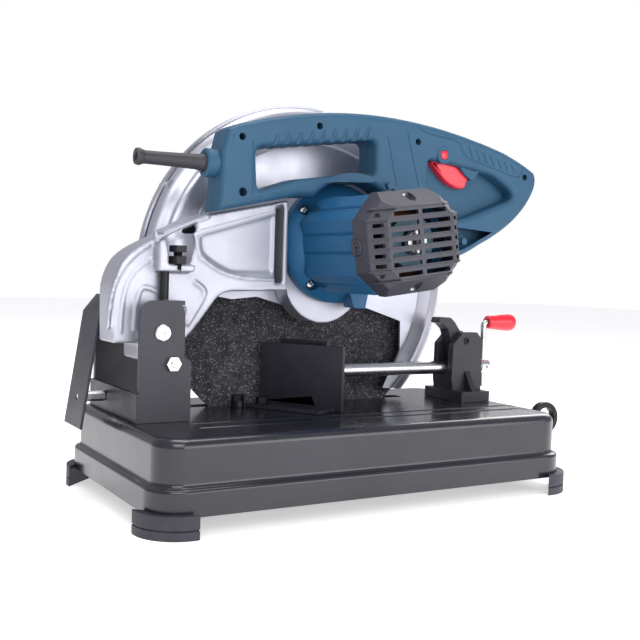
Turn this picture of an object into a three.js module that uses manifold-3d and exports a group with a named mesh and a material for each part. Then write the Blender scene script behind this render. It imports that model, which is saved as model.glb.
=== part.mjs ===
// Abrasive chop saw, 355 mm wheel. Millimetres, +Z up, +X towards the operator's handle,
// -Y towards the motor. The model is laid out on the base: x = y = 0 at the middle of the base,
// z = 0 on the floor under the feet. The head is drawn lowered, in its carrying position.
import * as THREE from 'three';
import { mergeVertices } from 'three/addons/utils/BufferGeometryUtils.js';
import Module from 'manifold-3d';

const wasm = await Module();
wasm.setup();

// ---- driving dimensions ------------------------------------------------------------------
const BASE = { length: 470, width: 264, corner: 32, inset: 6, bottom: 17, step: 42, top: 83, wall: 2.5 };
const FOOT = { radius: 40, chord: 24.5, height: 21 };
const PIVOT = { x: -194, z: 167, shaft: 8 };
const SPINDLE = { x: 6, z: 220 };
const MOTOR = { x: 15, z: 259, roll: 8, bore: 43.4, shaft: 5.7 };
const WHEEL = { radius: 177.5, bore: 12.7, near: 56, thickness: 3 };
const GUARD = { radius: 191.5, wall: 3, near: 40, split: 61, far: 85, lowest: 91 };
const EAR = { near: -34, far: 106, thickness: 6, rear: -216, front: -172, foot: -165, top: 197 };
const HANDLE = { near: -33, far: 6, split: -14, wall: 3 };
const HOUSING = { front: -112, flange: 63.5, face: 12.7, halfWidth: 51, halfHeight: 48, chamfer: 21 };
const CAP = { front: -151, belly: -137, halfWidth: 53, halfHeight: 50, chamfer: 24, screw: 43.5 };
const VISE = { y: 16, z: 121, screw: 7.6, ear: 9, gap: 18, rear: 175, front: 218, pinX: 194.5, pinZ: 153 };
const CRANK = { x: 234.5, hub: 227, up: 53, down: 24, rod: 3.2, grip: 239.4 };
const FENCE = { x: 5, y: -37, turn: 30, length: 100, height: 68, thickness: 5, flange: 34 };
const JAW = { pin: 0, low: -22, high: 36, bottom: 87, top: 155, thickness: 6, reach: 14 };
const GEAR = { module: 1.82, pinionTeeth: 9, wheelTeeth: 35, near: 18, width: 12 };
const WRENCH = { x: 251, y: -74, z: 70, ring: 18.5, thickness: 5, shank: 150 };
const GAP = 0.3;
const CENTRE = { x: -13.75, y: 5.5 };

// ---- small tools ---------------------------------------------------------------------------
const finish = (color, roughness, metalness) =>
  new THREE.MeshStandardMaterial({ color, roughness, metalness });
const PAINT = { black: 0x17181b, cast: 0xc3c6cc, steel: 0xb9bcc2, blue: 0x1d5168, red: 0xd6202c };

// A three.js geometry as a manifold solid; a profile drawn the wrong way round is turned over.
function solid(geometry) {
  const bare = geometry.index ? geometry.toNonIndexed() : geometry.clone();
  bare.deleteAttribute('normal');
  bare.deleteAttribute('uv');
  const merged = mergeVertices(bare, 1e-3);
  const points = merged.attributes.position.array;
  const triangles = new Uint32Array(merged.index.array);
  let volume = 0;
  const a = new THREE.Vector3(), b = new THREE.Vector3(), c = new THREE.Vector3();
  for (let i = 0; i < triangles.length; i += 3) {
    a.fromArray(points, 3 * triangles[i]);
    b.fromArray(points, 3 * triangles[i + 1]);
    c.fromArray(points, 3 * triangles[i + 2]);
    volume += a.dot(b.cross(c));
  }
  if (volume < 0) {
    for (let i = 0; i < triangles.length; i += 3) {
      [triangles[i + 1], triangles[i + 2]] = [triangles[i + 2], triangles[i + 1]];
    }
  }
  return new wasm.Manifold(new wasm.Mesh({ numProp: 3, vertProperties: points, triVerts: triangles }));
}

const join = (...solids) => solids.reduce((a, b) => a.add(b));
const cut = (body, ...tools) => tools.reduce((a, b) => a.subtract(b), body);

function geometryOf(body) {
  const mesh = body.getMesh();
  const positions = new Float32Array(mesh.numVert * 3);
  for (let i = 0; i < mesh.numVert; i++) {
    positions.set(mesh.vertProperties.subarray(i * mesh.numProp, i * mesh.numProp + 3), i * 3);
  }
  const geometry = new THREE.BufferGeometry();
  geometry.setAttribute('position', new THREE.BufferAttribute(positions, 3));
  geometry.setIndex(new THREE.BufferAttribute(new Uint32Array(mesh.triVerts), 1));
  geometry.computeVertexNormals();
  return geometry;
}

// An outline from points; round corners come from `radius`.
function outline(points, radius = 0) {
  const shape = new THREE.Shape();
  const n = points.length;
  points.forEach((p, i) => {
    const here = new THREE.Vector2(...p);
    const before = new THREE.Vector2(...points[(i + n - 1) % n]);
    const after = new THREE.Vector2(...points[(i + 1) % n]);
    const toBefore = before.clone().sub(here);
    const toAfter = after.clone().sub(here);
    const r = Math.min(p[2] ?? radius, toBefore.length() * 0.49, toAfter.length() * 0.49);
    const start = here.clone().addScaledVector(toBefore.normalize(), r);
    const end = here.clone().addScaledVector(toAfter.normalize(), r);
    if (i === 0) shape.moveTo(start.x, start.y);
    else shape.lineTo(start.x, start.y);
    if (r > 0) shape.quadraticCurveTo(here.x, here.y, end.x, end.y);
  });
  shape.closePath();
  return shape;
}

const extrude = (shape, depth, curveSegments = 4) =>
  new THREE.ExtrudeGeometry(shape, { depth, bevelEnabled: false, curveSegments, steps: 1 });

// A plate whose outline is drawn in x,z and that runs from y0 to y1.
function plateY(shape, y0, y1, curveSegments) {
  return solid(extrude(shape, y1 - y0, curveSegments).rotateX(Math.PI / 2).translate(0, y1, 0));
}

// A plate whose outline is drawn in x,y and that runs from z0 to z1.
function plateZ(shape, z0, z1, curveSegments) {
  return solid(extrude(shape, z1 - z0, curveSegments).translate(0, 0, z0));
}

// A bar whose outline is drawn in y,z and that runs from x0 to x1.
function plateX(shape, x0, x1, curveSegments) {
  return solid(
    extrude(shape, x1 - x0, curveSegments).rotateX(Math.PI / 2).rotateZ(Math.PI / 2).translate(x0, 0, 0),
  );
}

function box(x0, x1, y0, y1, z0, z1) {
  const geometry = new THREE.BoxGeometry(x1 - x0, y1 - y0, z1 - z0);
  return solid(geometry.translate((x0 + x1) / 2, (y0 + y1) / 2, (z0 + z1) / 2));
}

// A cylinder along Y, from y0 to y1, round the line x, z.
function cylinderY(x, z, radius, y0, y1, sides = 24) {
  const geometry = new THREE.CylinderGeometry(radius, radius, y1 - y0, sides);
  return solid(geometry.translate(x, (y0 + y1) / 2, z));
}

function cylinderX(y, z, radius, x0, x1, sides = 20) {
  const geometry = new THREE.CylinderGeometry(radius, radius, x1 - x0, sides).rotateZ(Math.PI / 2);
  return solid(geometry.translate((x0 + x1) / 2, y, z));
}

function cylinderZ(x, y, radius, z0, z1, sides = 20) {
  const geometry = new THREE.CylinderGeometry(radius, radius, z1 - z0, sides).rotateX(Math.PI / 2);
  return solid(geometry.translate(x, y, (z0 + z1) / 2));
}

// A hexagon along Z with two of its flats square to Y.
function hexagonZ(x, y, radius, z0, z1) {
  const geometry = new THREE.CylinderGeometry(radius, radius, z1 - z0, 6);
  return solid(geometry.rotateX(Math.PI / 2).rotateZ(Math.PI / 6).translate(x, y, (z0 + z1) / 2));
}

// A turned solid about the line x, z along Y; the profile is a list of [radius, y].
function turnedY(profile, x, z, sides = 24) {
  const points = profile.map(([r, y]) => new THREE.Vector2(r, y));
  return solid(new THREE.LatheGeometry(points, sides).translate(x, 0, z));
}

// A round bar along a smooth curve through the points.
function wire(points, radius, steps, sides = 8) {
  const curve = new THREE.CatmullRomCurve3(points.map((p) => new THREE.Vector3(...p)), false, 'centripetal');
  const section = new THREE.Shape();
  for (let i = 0; i < sides; i++) {
    const a = (2 * Math.PI * i) / sides;
    if (i === 0) section.moveTo(radius * Math.cos(a), radius * Math.sin(a));
    else section.lineTo(radius * Math.cos(a), radius * Math.sin(a));
  }
  section.closePath();
  return solid(new THREE.ExtrudeGeometry(section, { steps, bevelEnabled: false, extrudePath: curve }));
}

// A rectangle with true arcs at its corners.
function roundedRect(halfX, halfY, radius) {
  const shape = new THREE.Shape();
  const cx = halfX - radius;
  const cy = halfY - radius;
  const centres = [[cx, cy], [-cx, cy], [-cx, -cy], [cx, -cy]];
  centres.forEach(([x, y], i) => {
    shape.absarc(x, y, radius, (i * Math.PI) / 2, ((i + 1) * Math.PI) / 2, false);
  });
  shape.closePath();
  return shape;
}

// The corners of an eight-sided section, in the motor's own frame.
const octagon = (w, h, c) => [
  [w - c, -h], [w, c - h], [w, h - c], [w - c, h],
  [c - w, h], [-w, h - c], [-w, c - h], [c - w, -h],
];

// Places on the table, worked out from the fence's turn and the vise's place.
const TURN = (FENCE.turn * Math.PI) / 180;
const fencePlace = new THREE.Matrix4().makeRotationZ(TURN).setPosition(FENCE.x, FENCE.y, 0);
const FENCE_HOLE = [-26, 84];
const FENCE_BOLT = new THREE.Vector3(...FENCE_HOLE, 0).applyMatrix4(fencePlace).toArray().slice(0, 2);
const TABLE_BOLT = [-82, 36];
const VISE_BOLTS = [-1, 1].map((side) => [196, VISE.y + side * 12]);

// A solid between two outlines with the same number of points, [x, z] at y0 and at y1.
function loftY(first, y0, second, y1) {
  const n = first.length;
  const positions = [];
  for (const [x, z] of first) positions.push(x, y0, z);
  for (const [x, z] of second) positions.push(x, y1, z);
  const index = [];
  for (let i = 0; i < n; i++) {
    const j = (i + 1) % n;
    index.push(i, j, n + j, i, n + j, n + i);
    if (i > 0 && i < n - 1) index.push(0, i + 1, i, n, n + i, n + i + 1);
  }
  const geometry = new THREE.BufferGeometry();
  geometry.setAttribute('position', new THREE.Float32BufferAttribute(positions, 3));
  geometry.setIndex(index);
  return solid(geometry);
}

const part = new THREE.Group();
part.name = 'abrasive_chop_saw';

function add(group, name, body, material, position = [0, 0, 0]) {
  const mesh = new THREE.Mesh(geometryOf(body), material);
  mesh.name = name;
  mesh.position.set(...position);
  group.add(mesh);
  return mesh;
}

// ---- base ------------------------------------------------------------------------------------
function basePan() {
  const { length, width, corner, inset, bottom, step, top, wall } = BASE;
  const skirt = plateZ(roundedRect(length / 2, width / 2, corner), bottom, step, 8);
  const box1 = plateZ(roundedRect(length / 2 - inset, width / 2 - inset, corner - inset), step - 1, top);
  const low = plateZ(roundedRect(length / 2 - wall, width / 2 - wall, corner - wall), bottom - 1, step - wall);
  const high = plateZ(
    roundedRect(length / 2 - inset - wall, width / 2 - inset - wall, corner - inset - wall),
    step - wall - 1, top - wall,
  );
  const slot = box(-138, 142, 49, 68, top - 10, top + 5);
  const wrenchSlot = box(
    length / 2 - 20, length / 2 + 5, WRENCH.y - 3.2, WRENCH.y + 3.2, WRENCH.z - 8, WRENCH.z + 8,
  );
  const holes = [FENCE_BOLT, TABLE_BOLT, VISE_BOLTS[0], VISE_BOLTS[1]].map(
    ([x, y]) => cylinderZ(x, y, 4 + GAP, top - 10, top + 5, 10),
  );
  return cut(join(skirt, box1), low, high, slot, wrenchSlot, ...holes);
}

// A rubber foot: a slice of a disc that grips the bottom edge of one corner of the pan.
function foot(sx, sy) {
  const cx = BASE.length / 2 - BASE.corner;
  const cy = BASE.width / 2 - BASE.corner;
  const disc = cylinderZ(cx, cy, FOOT.radius, 0, FOOT.height, 32);
  const turned = new THREE.BoxGeometry(80, 200, 60).translate(FOOT.chord - 40, 0, 10);
  const inner = solid(turned.rotateZ(Math.PI / 4).translate(cx, cy, 0));
  const groove = cut(
    cylinderZ(cx, cy, BASE.corner + GAP, BASE.bottom - GAP, FOOT.height + 5, 32),
    cylinderZ(cx, cy, BASE.corner - BASE.wall - GAP, BASE.bottom - 2, FOOT.height + 6, 32),
  );
  const body = cut(disc, inner, groove);
  const geometry = geometryOf(body);
  return solid(geometry.scale(sx, sy, 1));
}

function addBase() {
  const base = new THREE.Group();
  const black = finish(PAINT.black, 0.42, 0.3);
  const rubber = finish(0x232327, 0.7, 0);
  add(base, 'base_pan', basePan(), black);
  add(base, 'foot_rear_near', foot(-1, -1), rubber);
  add(base, 'foot_rear_far', foot(-1, 1), rubber);
  add(base, 'foot_front_near', foot(1, -1), rubber);
  add(base, 'foot_front_far', foot(1, 1), rubber);
  part.add(base);
}

// ---- rear bracket and its hardware ---------------------------------------------------------------
function earOutline() {
  const z0 = BASE.top + GAP;
  return outline([
    [EAR.rear, z0], [EAR.foot, z0], [EAR.foot, 140, 2], [EAR.front, 143, 2],
    [EAR.front, EAR.top, 15], [EAR.rear, EAR.top, 15],
  ], 0);
}

const ANCHOR = [-184, 138];

function pivotBracket() {
  const { near, far, thickness, rear } = EAR;
  const z0 = BASE.top + GAP;
  const nearEar = plateY(earOutline(), near, near + thickness, 6);
  const farEar = plateY(earOutline(), far - thickness, far, 6);
  const web = box(rear - 3, rear + 1, near, far, z0, z0 + 27);
  const floor = box(rear - 3, EAR.foot, near, near + 40, z0, z0 + 4);
  const floorFar = box(rear - 3, EAR.foot, 88, far, z0, z0 + 4);
  const stopTab = box(-194, -172, near + 1, -16.8, EAR.top - 4, EAR.top);
  const bore = cylinderY(PIVOT.x, PIVOT.z, PIVOT.shaft + GAP, near - 5, far + 5, 24);
  const boltHole = cylinderY(...ANCHOR, 3.3 + GAP, near - 5, near + 10, 12);
  const screwHole = cylinderX(58, 98, 3.3, rear - 10, rear + 10, 12);
  return cut(join(nearEar, farEar, web, floor, floorFar, stopTab), bore, boltHole, screwHole);
}

function addRear() {
  const rear = new THREE.Group();
  const black = finish(PAINT.black, 0.45, 0.3);
  const steel = finish(PAINT.steel, 0.3, 0.9);
  add(rear, 'pivot_bracket', pivotBracket(), black);
  const shaft = join(
    cylinderY(PIVOT.x, PIVOT.z, PIVOT.shaft, EAR.near - 2.5, EAR.far + 3, 24),
    cylinderY(PIVOT.x, PIVOT.z, 10.5, EAR.far + GAP, EAR.far + 4, 24),
  );
  add(rear, 'pivot_shaft', shaft, steel);
  const inner = EAR.near + EAR.thickness + GAP;
  const anchor = join(
    cylinderY(...ANCHOR, 3.3, EAR.near - 7, -15, 12),
    cylinderY(...ANCHOR, 6, inner, inner + 2.5, 6),
    cylinderY(...ANCHOR, 7.6, EAR.near - 5.3, EAR.near - GAP, 6),
  );
  add(rear, 'spring_anchor_bolt', anchor, steel);
  addDeflector(rear, black, steel);
  add(rear, 'return_spring', returnSpring(), finish(0x6d7075, 0.4, 0.8));
  part.add(rear);
}

// The torsion spring round the near end of the arm's barrel: one leg stands behind the anchor
// bolt, the other lies under the arm's lug and lifts it.
function returnSpring() {
  const r = 14.2;
  const turns = 2.25;
  const steps = 18;
  const points = [[-175.3, -25.3, 139], [-176.8, -25.3, 152]];
  for (let i = 0; i <= steps; i++) {
    const t = i / steps;
    const a = 2 * Math.PI * turns * t;
    points.push([PIVOT.x + r * Math.cos(a), -25.2 + 9.2 * t, PIVOT.z + r * Math.sin(a)]);
  }
  return wire(points, 1.9, 46, 5);
}

// The sloped plate behind the wheel that turns the sparks down, on its one bolt.
function addDeflector(group, black, steel) {
  const thick = 2.5;
  const line = [[-249, 69], [-231.5, 182], [-218, 199]];
  const back = line.map(([x, z]) => [x - thick, z + thick * 0.2]);
  const profile = outline([...line, ...back.reverse()]);
  const plate = cut(plateY(profile, 31, 86), cylinderX(58, 98, 3.3, -260, -235, 12));
  add(group, 'spark_deflector', plate, black);
  const bolt = join(
    cylinderX(58, 98, 3, -246.5, EAR.rear + 2, 12),
    cylinderX(58, 98, 5.5, -243.5, EAR.rear - 3 - GAP, 6),
    cylinderX(58, 98, 5.5, EAR.rear + 1 + GAP, EAR.rear + 5, 6),
  );
  add(group, 'deflector_bolt', bolt, steel);
}

// ---- fence and table bolts -----------------------------------------------------------------------
// A hexagon-headed bolt standing on its head side up: shank from z0 to z1, head above z1.
function bolt(x, y, radius, z0, z1, headRadius, headHeight) {
  return join(
    cylinderZ(x, y, radius, z0, z1 + 1, 10),
    cylinderZ(x, y, headRadius, z1, z1 + headHeight, 6),
  );
}

function addFence() {
  const group = new THREE.Group();
  const black = finish(PAINT.black, 0.5, 0.2);
  const steel = finish(0x8f9399, 0.35, 0.9);
  const { length, height, thickness, flange } = FENCE;
  const z0 = BASE.top + GAP;
  const plate = box(-thickness, 0, 0, length, z0, z0 + height);
  const foot = box(-flange, 0, 10, length, z0, z0 + 4);
  const pointer = plateX(outline([[32, z0 + 5], [40, z0 + 5], [36, z0 + 13]]), -thickness - 5, 5);
  const hole = cylinderZ(...FENCE_HOLE, 4 + GAP, z0 - 5, z0 + 10, 12);
  const body = cut(join(plate, foot), pointer, hole);
  const turned = geometryOf(body).applyMatrix4(fencePlace);
  add(group, 'fence', solid(turned), black);
  const under = BASE.top - BASE.wall - 12;
  add(group, 'fence_bolt', bolt(...FENCE_BOLT, 4, under, z0 + 4 + GAP, 7, 7), steel);
  const tableBolt = join(
    bolt(...TABLE_BOLT, 4, under, z0 + 6, 7, 7),
    cylinderZ(...TABLE_BOLT, 7.4, z0, z0 + 7, 16),
  );
  add(group, 'table_bolt', tableBolt, steel);
  part.add(group);
}

// ---- vise ------------------------------------------------------------------------------------------
function viseBody() {
  const { y, gap, ear, rear, front, z, screw, pinX, pinZ } = VISE;
  const half = gap / 2 + ear;
  const z0 = BASE.top + GAP;
  const [foot0, foot1] = [rear + 1, front - 1];
  const profile = outline([
    [foot0, z0], [foot1, z0], [front, z0 + 14], [front, 154], [front - 8, 163],
    [rear + 14, 163], [rear, 149], [rear - 1, 108], [foot0, 96],
  ], 1.5);
  const block = plateY(profile, y - half, y + half, 3);
  const between = box(rear - 10, front + 10, y - gap / 2, y + gap / 2, z, 200);
  const bore = cylinderX(y, z, screw + GAP + 0.2, rear - 10, front + 10, 20);
  const pinHole = cylinderY(pinX, pinZ, 4 + GAP, y - half - 5, y + half + 5, 14);
  const foot = box(foot0, foot1, y - half - 17, y + half + 17, z0, z0 + 12);
  const gusset = plateX(outline([
    [y - half - 15, z0 + 11], [y - half + 1, z0 + 11], [y - half + 1, z0 + 36],
  ]), 193, 200);
  const boltHoles = VISE_BOLTS.map(([bx, by]) => cylinderZ(bx, by, 4 + GAP, 60, z0 + 11, 10));
  return cut(join(block, foot, gusset), between, bore, pinHole, ...boltHoles);
}

// The half-nut lever: a heel on the screw, a pin hole and a hooked finger tip.
function addLever(group, material, pinMaterial) {
  const { y, z, screw, gap, ear, pinX, pinZ } = VISE;
  const heel = z + screw + 2 * GAP;
  const profile = outline([
    [pinX + 8, 148], [pinX, 161], [pinX - 10, 174], [pinX - 17, 180], [pinX - 32, 180],
    [pinX - 34, 174], [pinX - 27, 172], [pinX - 20, 166], [pinX - 14, 148],
    [pinX - 10, heel, 0.5], [pinX + 1.5, heel, 0.5],
  ], 2);
  const lever = cut(
    plateY(profile, y - gap / 2 + 1, y + gap / 2 - 1, 3),
    cylinderY(pinX, pinZ, 4 + GAP, y - 20, y + 20, 14),
  );
  add(group, 'half_nut_lever', lever, material);
  const out = gap / 2 + ear + 0.6;
  add(group, 'lever_pin', cylinderY(pinX, pinZ, 4, y - out, y + out, 14), pinMaterial);
}

function addVise() {
  const group = new THREE.Group();
  const castBlack = finish(0x1c1d20, 0.5, 0.35);
  const zinc = finish(PAINT.steel, 0.28, 0.95);
  const black = finish(PAINT.black, 0.5, 0.2);
  const { y, z, screw } = VISE;
  add(group, 'vise_body', viseBody(), castBlack);
  const under = BASE.top - BASE.wall - GAP;
  VISE_BOLTS.forEach(([bx, by], i) => {
    const body = join(
      cylinderZ(bx, by, 4, under - 1, BASE.top + 9, 10),
      cylinderZ(bx, by, 6.6, under - 6, under, 6),
    );
    add(group, i === 0 ? 'vise_bolt_near' : 'vise_bolt_far', body, zinc);
  });
  addLever(group, castBlack, zinc);

  // the screw with its crank
  const spindle = join(
    cylinderX(y, z, screw, JAW.pin + 19, CRANK.hub - GAP, 20),
    cylinderX(y, z, 4.5, JAW.pin + 6, JAW.pin + 20, 16),
  );
  add(group, 'vise_screw', spindle, zinc);
  const hub = cut(
    cylinderX(y, z, 9, CRANK.hub, CRANK.hub + 14, 20),
    cylinderZ(CRANK.x, y, CRANK.rod + GAP, z - 20, z + 20, 12),
  );
  add(group, 'crank_hub', hub, zinc);
  const top = z + CRANK.up;
  const rod = wire([
    [CRANK.x, y, z - CRANK.down], [CRANK.x, y, z], [CRANK.x, y, z + 30], [CRANK.x, y, top - 8],
    [CRANK.x + 1.5, y, top - 2], [CRANK.x + 7, y, top], [CRANK.grip + 34, y, top],
  ], CRANK.rod, 20, 8);
  add(group, 'crank_rod', rod, zinc);
  const bore = CRANK.rod + 0.7;
  const grip = new THREE.LatheGeometry([
    [bore, 0], [7.5, 0], [8.6, 4], [9.2, 12], [10.8, 32], [10.8, 36], [9, 39.6], [0, 39.6],
    [0, 36.6], [bore, 36.6], [bore, 0],
  ].map(([r, t]) => new THREE.Vector2(r, t)), 20).rotateZ(-Math.PI / 2);
  add(group, 'crank_grip', solid(grip.translate(CRANK.grip, y, top)), finish(PAINT.red, 0.35, 0));

  // the block on the screw's nose, and the jaw that swivels on its upright pin
  const block = cut(
    join(box(JAW.pin, JAW.pin + 18, y - 8, y + 8, z - 8, z + 8), cylinderZ(JAW.pin, y, 7.9, z - 8, z + 8, 20)),
    cylinderX(y, z, 4.5 + GAP, JAW.pin + 5.5, JAW.pin + 30, 16),
    cylinderZ(JAW.pin, y, 3 + GAP, z - 20, z + 20, 12),
  );
  add(group, 'swivel_block', block, zinc);
  add(group, 'jaw_pin', cylinderZ(JAW.pin, y, 3, z - 13, z + 13, 12), zinc);
  const turn = new THREE.Matrix4().makeRotationZ(TURN).setPosition(JAW.pin, y, 0);
  const face = box(-JAW.reach, JAW.thickness - JAW.reach, JAW.low, JAW.high, JAW.bottom, JAW.top);
  const tabs = [-1, 1].map((side) => {
    const shape = outline([[-JAW.reach + 1, -9], [8, -9, 8], [8, 9, 8], [-JAW.reach + 1, 9]]);
    return plateZ(shape, z + side * 10.3 - 2, z + side * 10.3 + 2);
  });
  const jaw = cut(join(face, ...tabs), cylinderZ(0, 0, 3 + GAP, z - 30, z + 30, 12));
  add(group, 'jaw_plate', solid(geometryOf(jaw).applyMatrix4(turn)), black);
  part.add(group);
}

// ---- arm, gear case and guard ------------------------------------------------------------------------
const ARM = { near: -13, rearFar: 28, far: 41, barrel: 16 };

function armBody() {
  const whole = outline([
    [-235, 156, 2], [-236, 214, 12], [-226, 236, 12], [-210, 248, 10], [-145, 280], [-53, 300, 3],
    [-52, 208, 2], [-126, 206, 12], [-146, 179, 12], [-163, 158, 10], [-182, 146, 8], [-210, 139, 3],
    [-211, 156, 2],
  ]);
  const rearPart = plateY(whole, ARM.near, ARM.rearFar, 3);
  const forward = cut(plateY(whole, ARM.rearFar - 1, ARM.far, 3), box(-300, -176, 0, 60, 100, 300));
  const pocket = outline([
    [-229, 140], [-231, 212, 10], [-222, 232, 10], [-207, 242, 8], [-145, 274], [-58, 293, 3],
    [-58, 213, 3], [-130, 212, 10], [-154, 188, 6], [-212, 188, 3], [-214, 140],
  ]);
  const hollow = plateY(pocket, ARM.near + 4, ARM.rearFar - 4, 3);
  return cut(join(rearPart, forward), hollow);
}

// The lug that carries the depth stop, and the small lug over the spring's leg.
function armLugs() {
  const stop = plateY(outline([
    [-197, 252, 4], [-158, 262, 4], [-160, 224, 3], [-197, 224, 3],
  ]), -27, ARM.near + 1, 3);
  const space = box(-187, -150, -30, -13.1, 231, 290);
  const spring = box(-187, -164, -16.4, ARM.near + 1, 183, 190);
  return join(cut(stop, space), spring);
}

// The two overlapping drums of the gear case, and the room inside them: open to the motor
// above, closed by a wall in front of the spindle's gear.
const gearCase = () => join(
  cylinderY(MOTOR.x, MOTOR.z, 62, HOUSING.face + GAP, GUARD.near + 3, 40),
  cylinderY(SPINDLE.x, SPINDLE.z, 47, HOUSING.face + GAP, GUARD.near + 3, 32),
);

const gearSpace = () => join(
  cylinderY(MOTOR.x, MOTOR.z, 50, HOUSING.face - 1, 36, 28),
  cylinderY(SPINDLE.x, SPINDLE.z, 40, GEAR.near - 1, 36, 28),
);

const rimPoint = (angle, radius) => {
  const a = (angle * Math.PI) / 180;
  return [SPINDLE.x + radius * Math.cos(a), SPINDLE.z + radius * Math.sin(a)];
};
const GUARD_SCREWS = [18, 84, 150].map((angle) => rimPoint(angle, GUARD.radius - 7.5));

// Half of the wheel guard: a shallow dish, kept where `keep` covers it.
function guardHalf(y0, y1, inner0, inner1, keep) {
  const { x, z } = SPINDLE;
  const dish = cut(
    cylinderY(x, z, GUARD.radius, y0, y1, 52),
    cylinderY(x, z, GUARD.radius - GUARD.wall, inner0, inner1, 52),
  );
  return dish.intersect(plateY(keep, y0 - 1, y1 + 1, 2));
}

function armCasting() {
  const keep = outline([
    [-260, 198], [-184, 198], [-170, 176], [-146, 179], [-138, 205], [-90, 197], [-60, 200],
    [-31, 192], [-6, 178], [20, 174], [39, 186], [67, 193], [128, 174], [129, 139], [108, 96],
    [150, GUARD.lowest], [260, GUARD.lowest], [260, 500], [-260, 500],
  ]);
  const near = guardHalf(GUARD.near, GUARD.split - GAP, GUARD.near + GUARD.wall, GUARD.split + 1, keep);
  const posts = GUARD_SCREWS.map(([x, z]) => cylinderY(x, z, 5.4, GUARD.near + 1, GUARD.far - 3.6, 12));
  const boss = cylinderY(SPINDLE.x, SPINDLE.z, 23, 34, 49, 28);
  const barrel = cylinderY(PIVOT.x, PIVOT.z, ARM.barrel, ARM.near, ARM.far, 24);
  const spigot = cylinderY(PIVOT.x, PIVOT.z, 11, -27.2, ARM.near + 1, 20);
  const solidPart = join(cut(join(armBody(), gearCase(), near), gearSpace()), ...posts, boss, barrel,
    spigot, armLugs());
  return cut(
    solidPart,
    cylinderY(PIVOT.x, PIVOT.z, PIVOT.shaft + GAP, -60, 120, 24),
    cylinderY(SPINDLE.x, SPINDLE.z, 17.5 + GAP, 30, 47, 24),
    cylinderY(SPINDLE.x, SPINDLE.z, 10, 30, 60, 20),
    cylinderZ(...STOP_BOLT, 4.3 + GAP, 215, 240, 12),
    cylinderZ(...STOP_ROD, 4.5 + GAP, 215, 226, 12),
    ...GUARD_SCREWS.map(([x, z]) => cylinderY(x, z, 2.2 + GAP, 66, 100, 10)),
    ...FLANGE_SCREWS.map(([x, z]) => cylinderY(x, z, 2.4 + GAP, 5, 32, 10)),
  );
}

const FLANGE_SCREWS = [45, 135, 225, 315].map((angle) => {
  const a = ((angle + MOTOR.roll) * Math.PI) / 180;
  return [MOTOR.x + 55 * Math.cos(a), MOTOR.z + 55 * Math.sin(a)];
});
const STOP_BOLT = [-176, -21.8];
const STOP_ROD = [-188, -19];

function guardCover() {
  const keep = outline([
    [-260, 205], [-176, 205], [-150, 165], [118, 165], [129, 139], [108, 96],
    [150, GUARD.lowest], [260, GUARD.lowest], [260, 500], [-260, 500],
  ]);
  const half = guardHalf(GUARD.split + GAP, GUARD.far, GUARD.split - 1, GUARD.far - GUARD.wall, keep);
  return cut(
    half,
    ...GUARD_SCREWS.map(([x, z]) => cylinderY(x, z, 5.4 + GAP, 40, GUARD.far - 3.3, 12)),
    ...GUARD_SCREWS.map(([x, z]) => cylinderY(x, z, 2.2 + GAP, 40, 100, 10)),
  );
}

function addArm(group) {
  const cast = finish(PAINT.cast, 0.42, 0.55);
  const steel = finish(PAINT.steel, 0.3, 0.9);
  const black = finish(0x1b1c1f, 0.4, 0.6);
  add(group, 'arm_casting', armCasting(), cast);
  add(group, 'guard_cover', guardCover(), cast);
  const sleeve = cut(
    cylinderY(PIVOT.x, PIVOT.z, 12.5, ARM.far + GAP, EAR.far - EAR.thickness - GAP, 20),
    cylinderY(PIVOT.x, PIVOT.z, PIVOT.shaft + GAP, 0, 200, 24),
  );
  add(group, 'pivot_sleeve', sleeve, steel);
  const stop = join(cylinderZ(...STOP_BOLT, 4.3, 226, 244, 12), hexagonZ(...STOP_BOLT, 9, 242.5, 249));
  add(group, 'depth_stop_bolt', stop, black);
  const nut = cut(
    hexagonZ(...STOP_BOLT, 9.2, 231 + GAP, 239),
    cylinderZ(...STOP_BOLT, 4.3 + GAP, 200, 260, 12),
  );
  add(group, 'depth_stop_nut', nut, black);
  add(group, 'depth_stop_rod', cylinderZ(...STOP_ROD, 4.5, EAR.top + GAP, 225.5, 12), black);
}

// ---- wheel drive --------------------------------------------------------------------------------------
function gearOutline(teeth, phase) {
  const pitch = (teeth * GEAR.module) / 2;
  const tip = pitch + 0.75 * GEAR.module;
  const root = pitch - 1.05 * GEAR.module;
  const step = (2 * Math.PI) / teeth;
  const shape = new THREE.Shape();
  for (let i = 0; i < teeth; i++) {
    const a = i * step + phase;
    const corners = [[root, -0.33], [tip, -0.11], [tip, 0.11], [root, 0.33]];
    corners.forEach(([r, share], k) => {
      const x = r * Math.cos(a + share * step);
      const y = r * Math.sin(a + share * step);
      if (i === 0 && k === 0) shape.moveTo(x, y);
      else shape.lineTo(x, y);
    });
  }
  shape.closePath();
  return shape;
}

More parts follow.
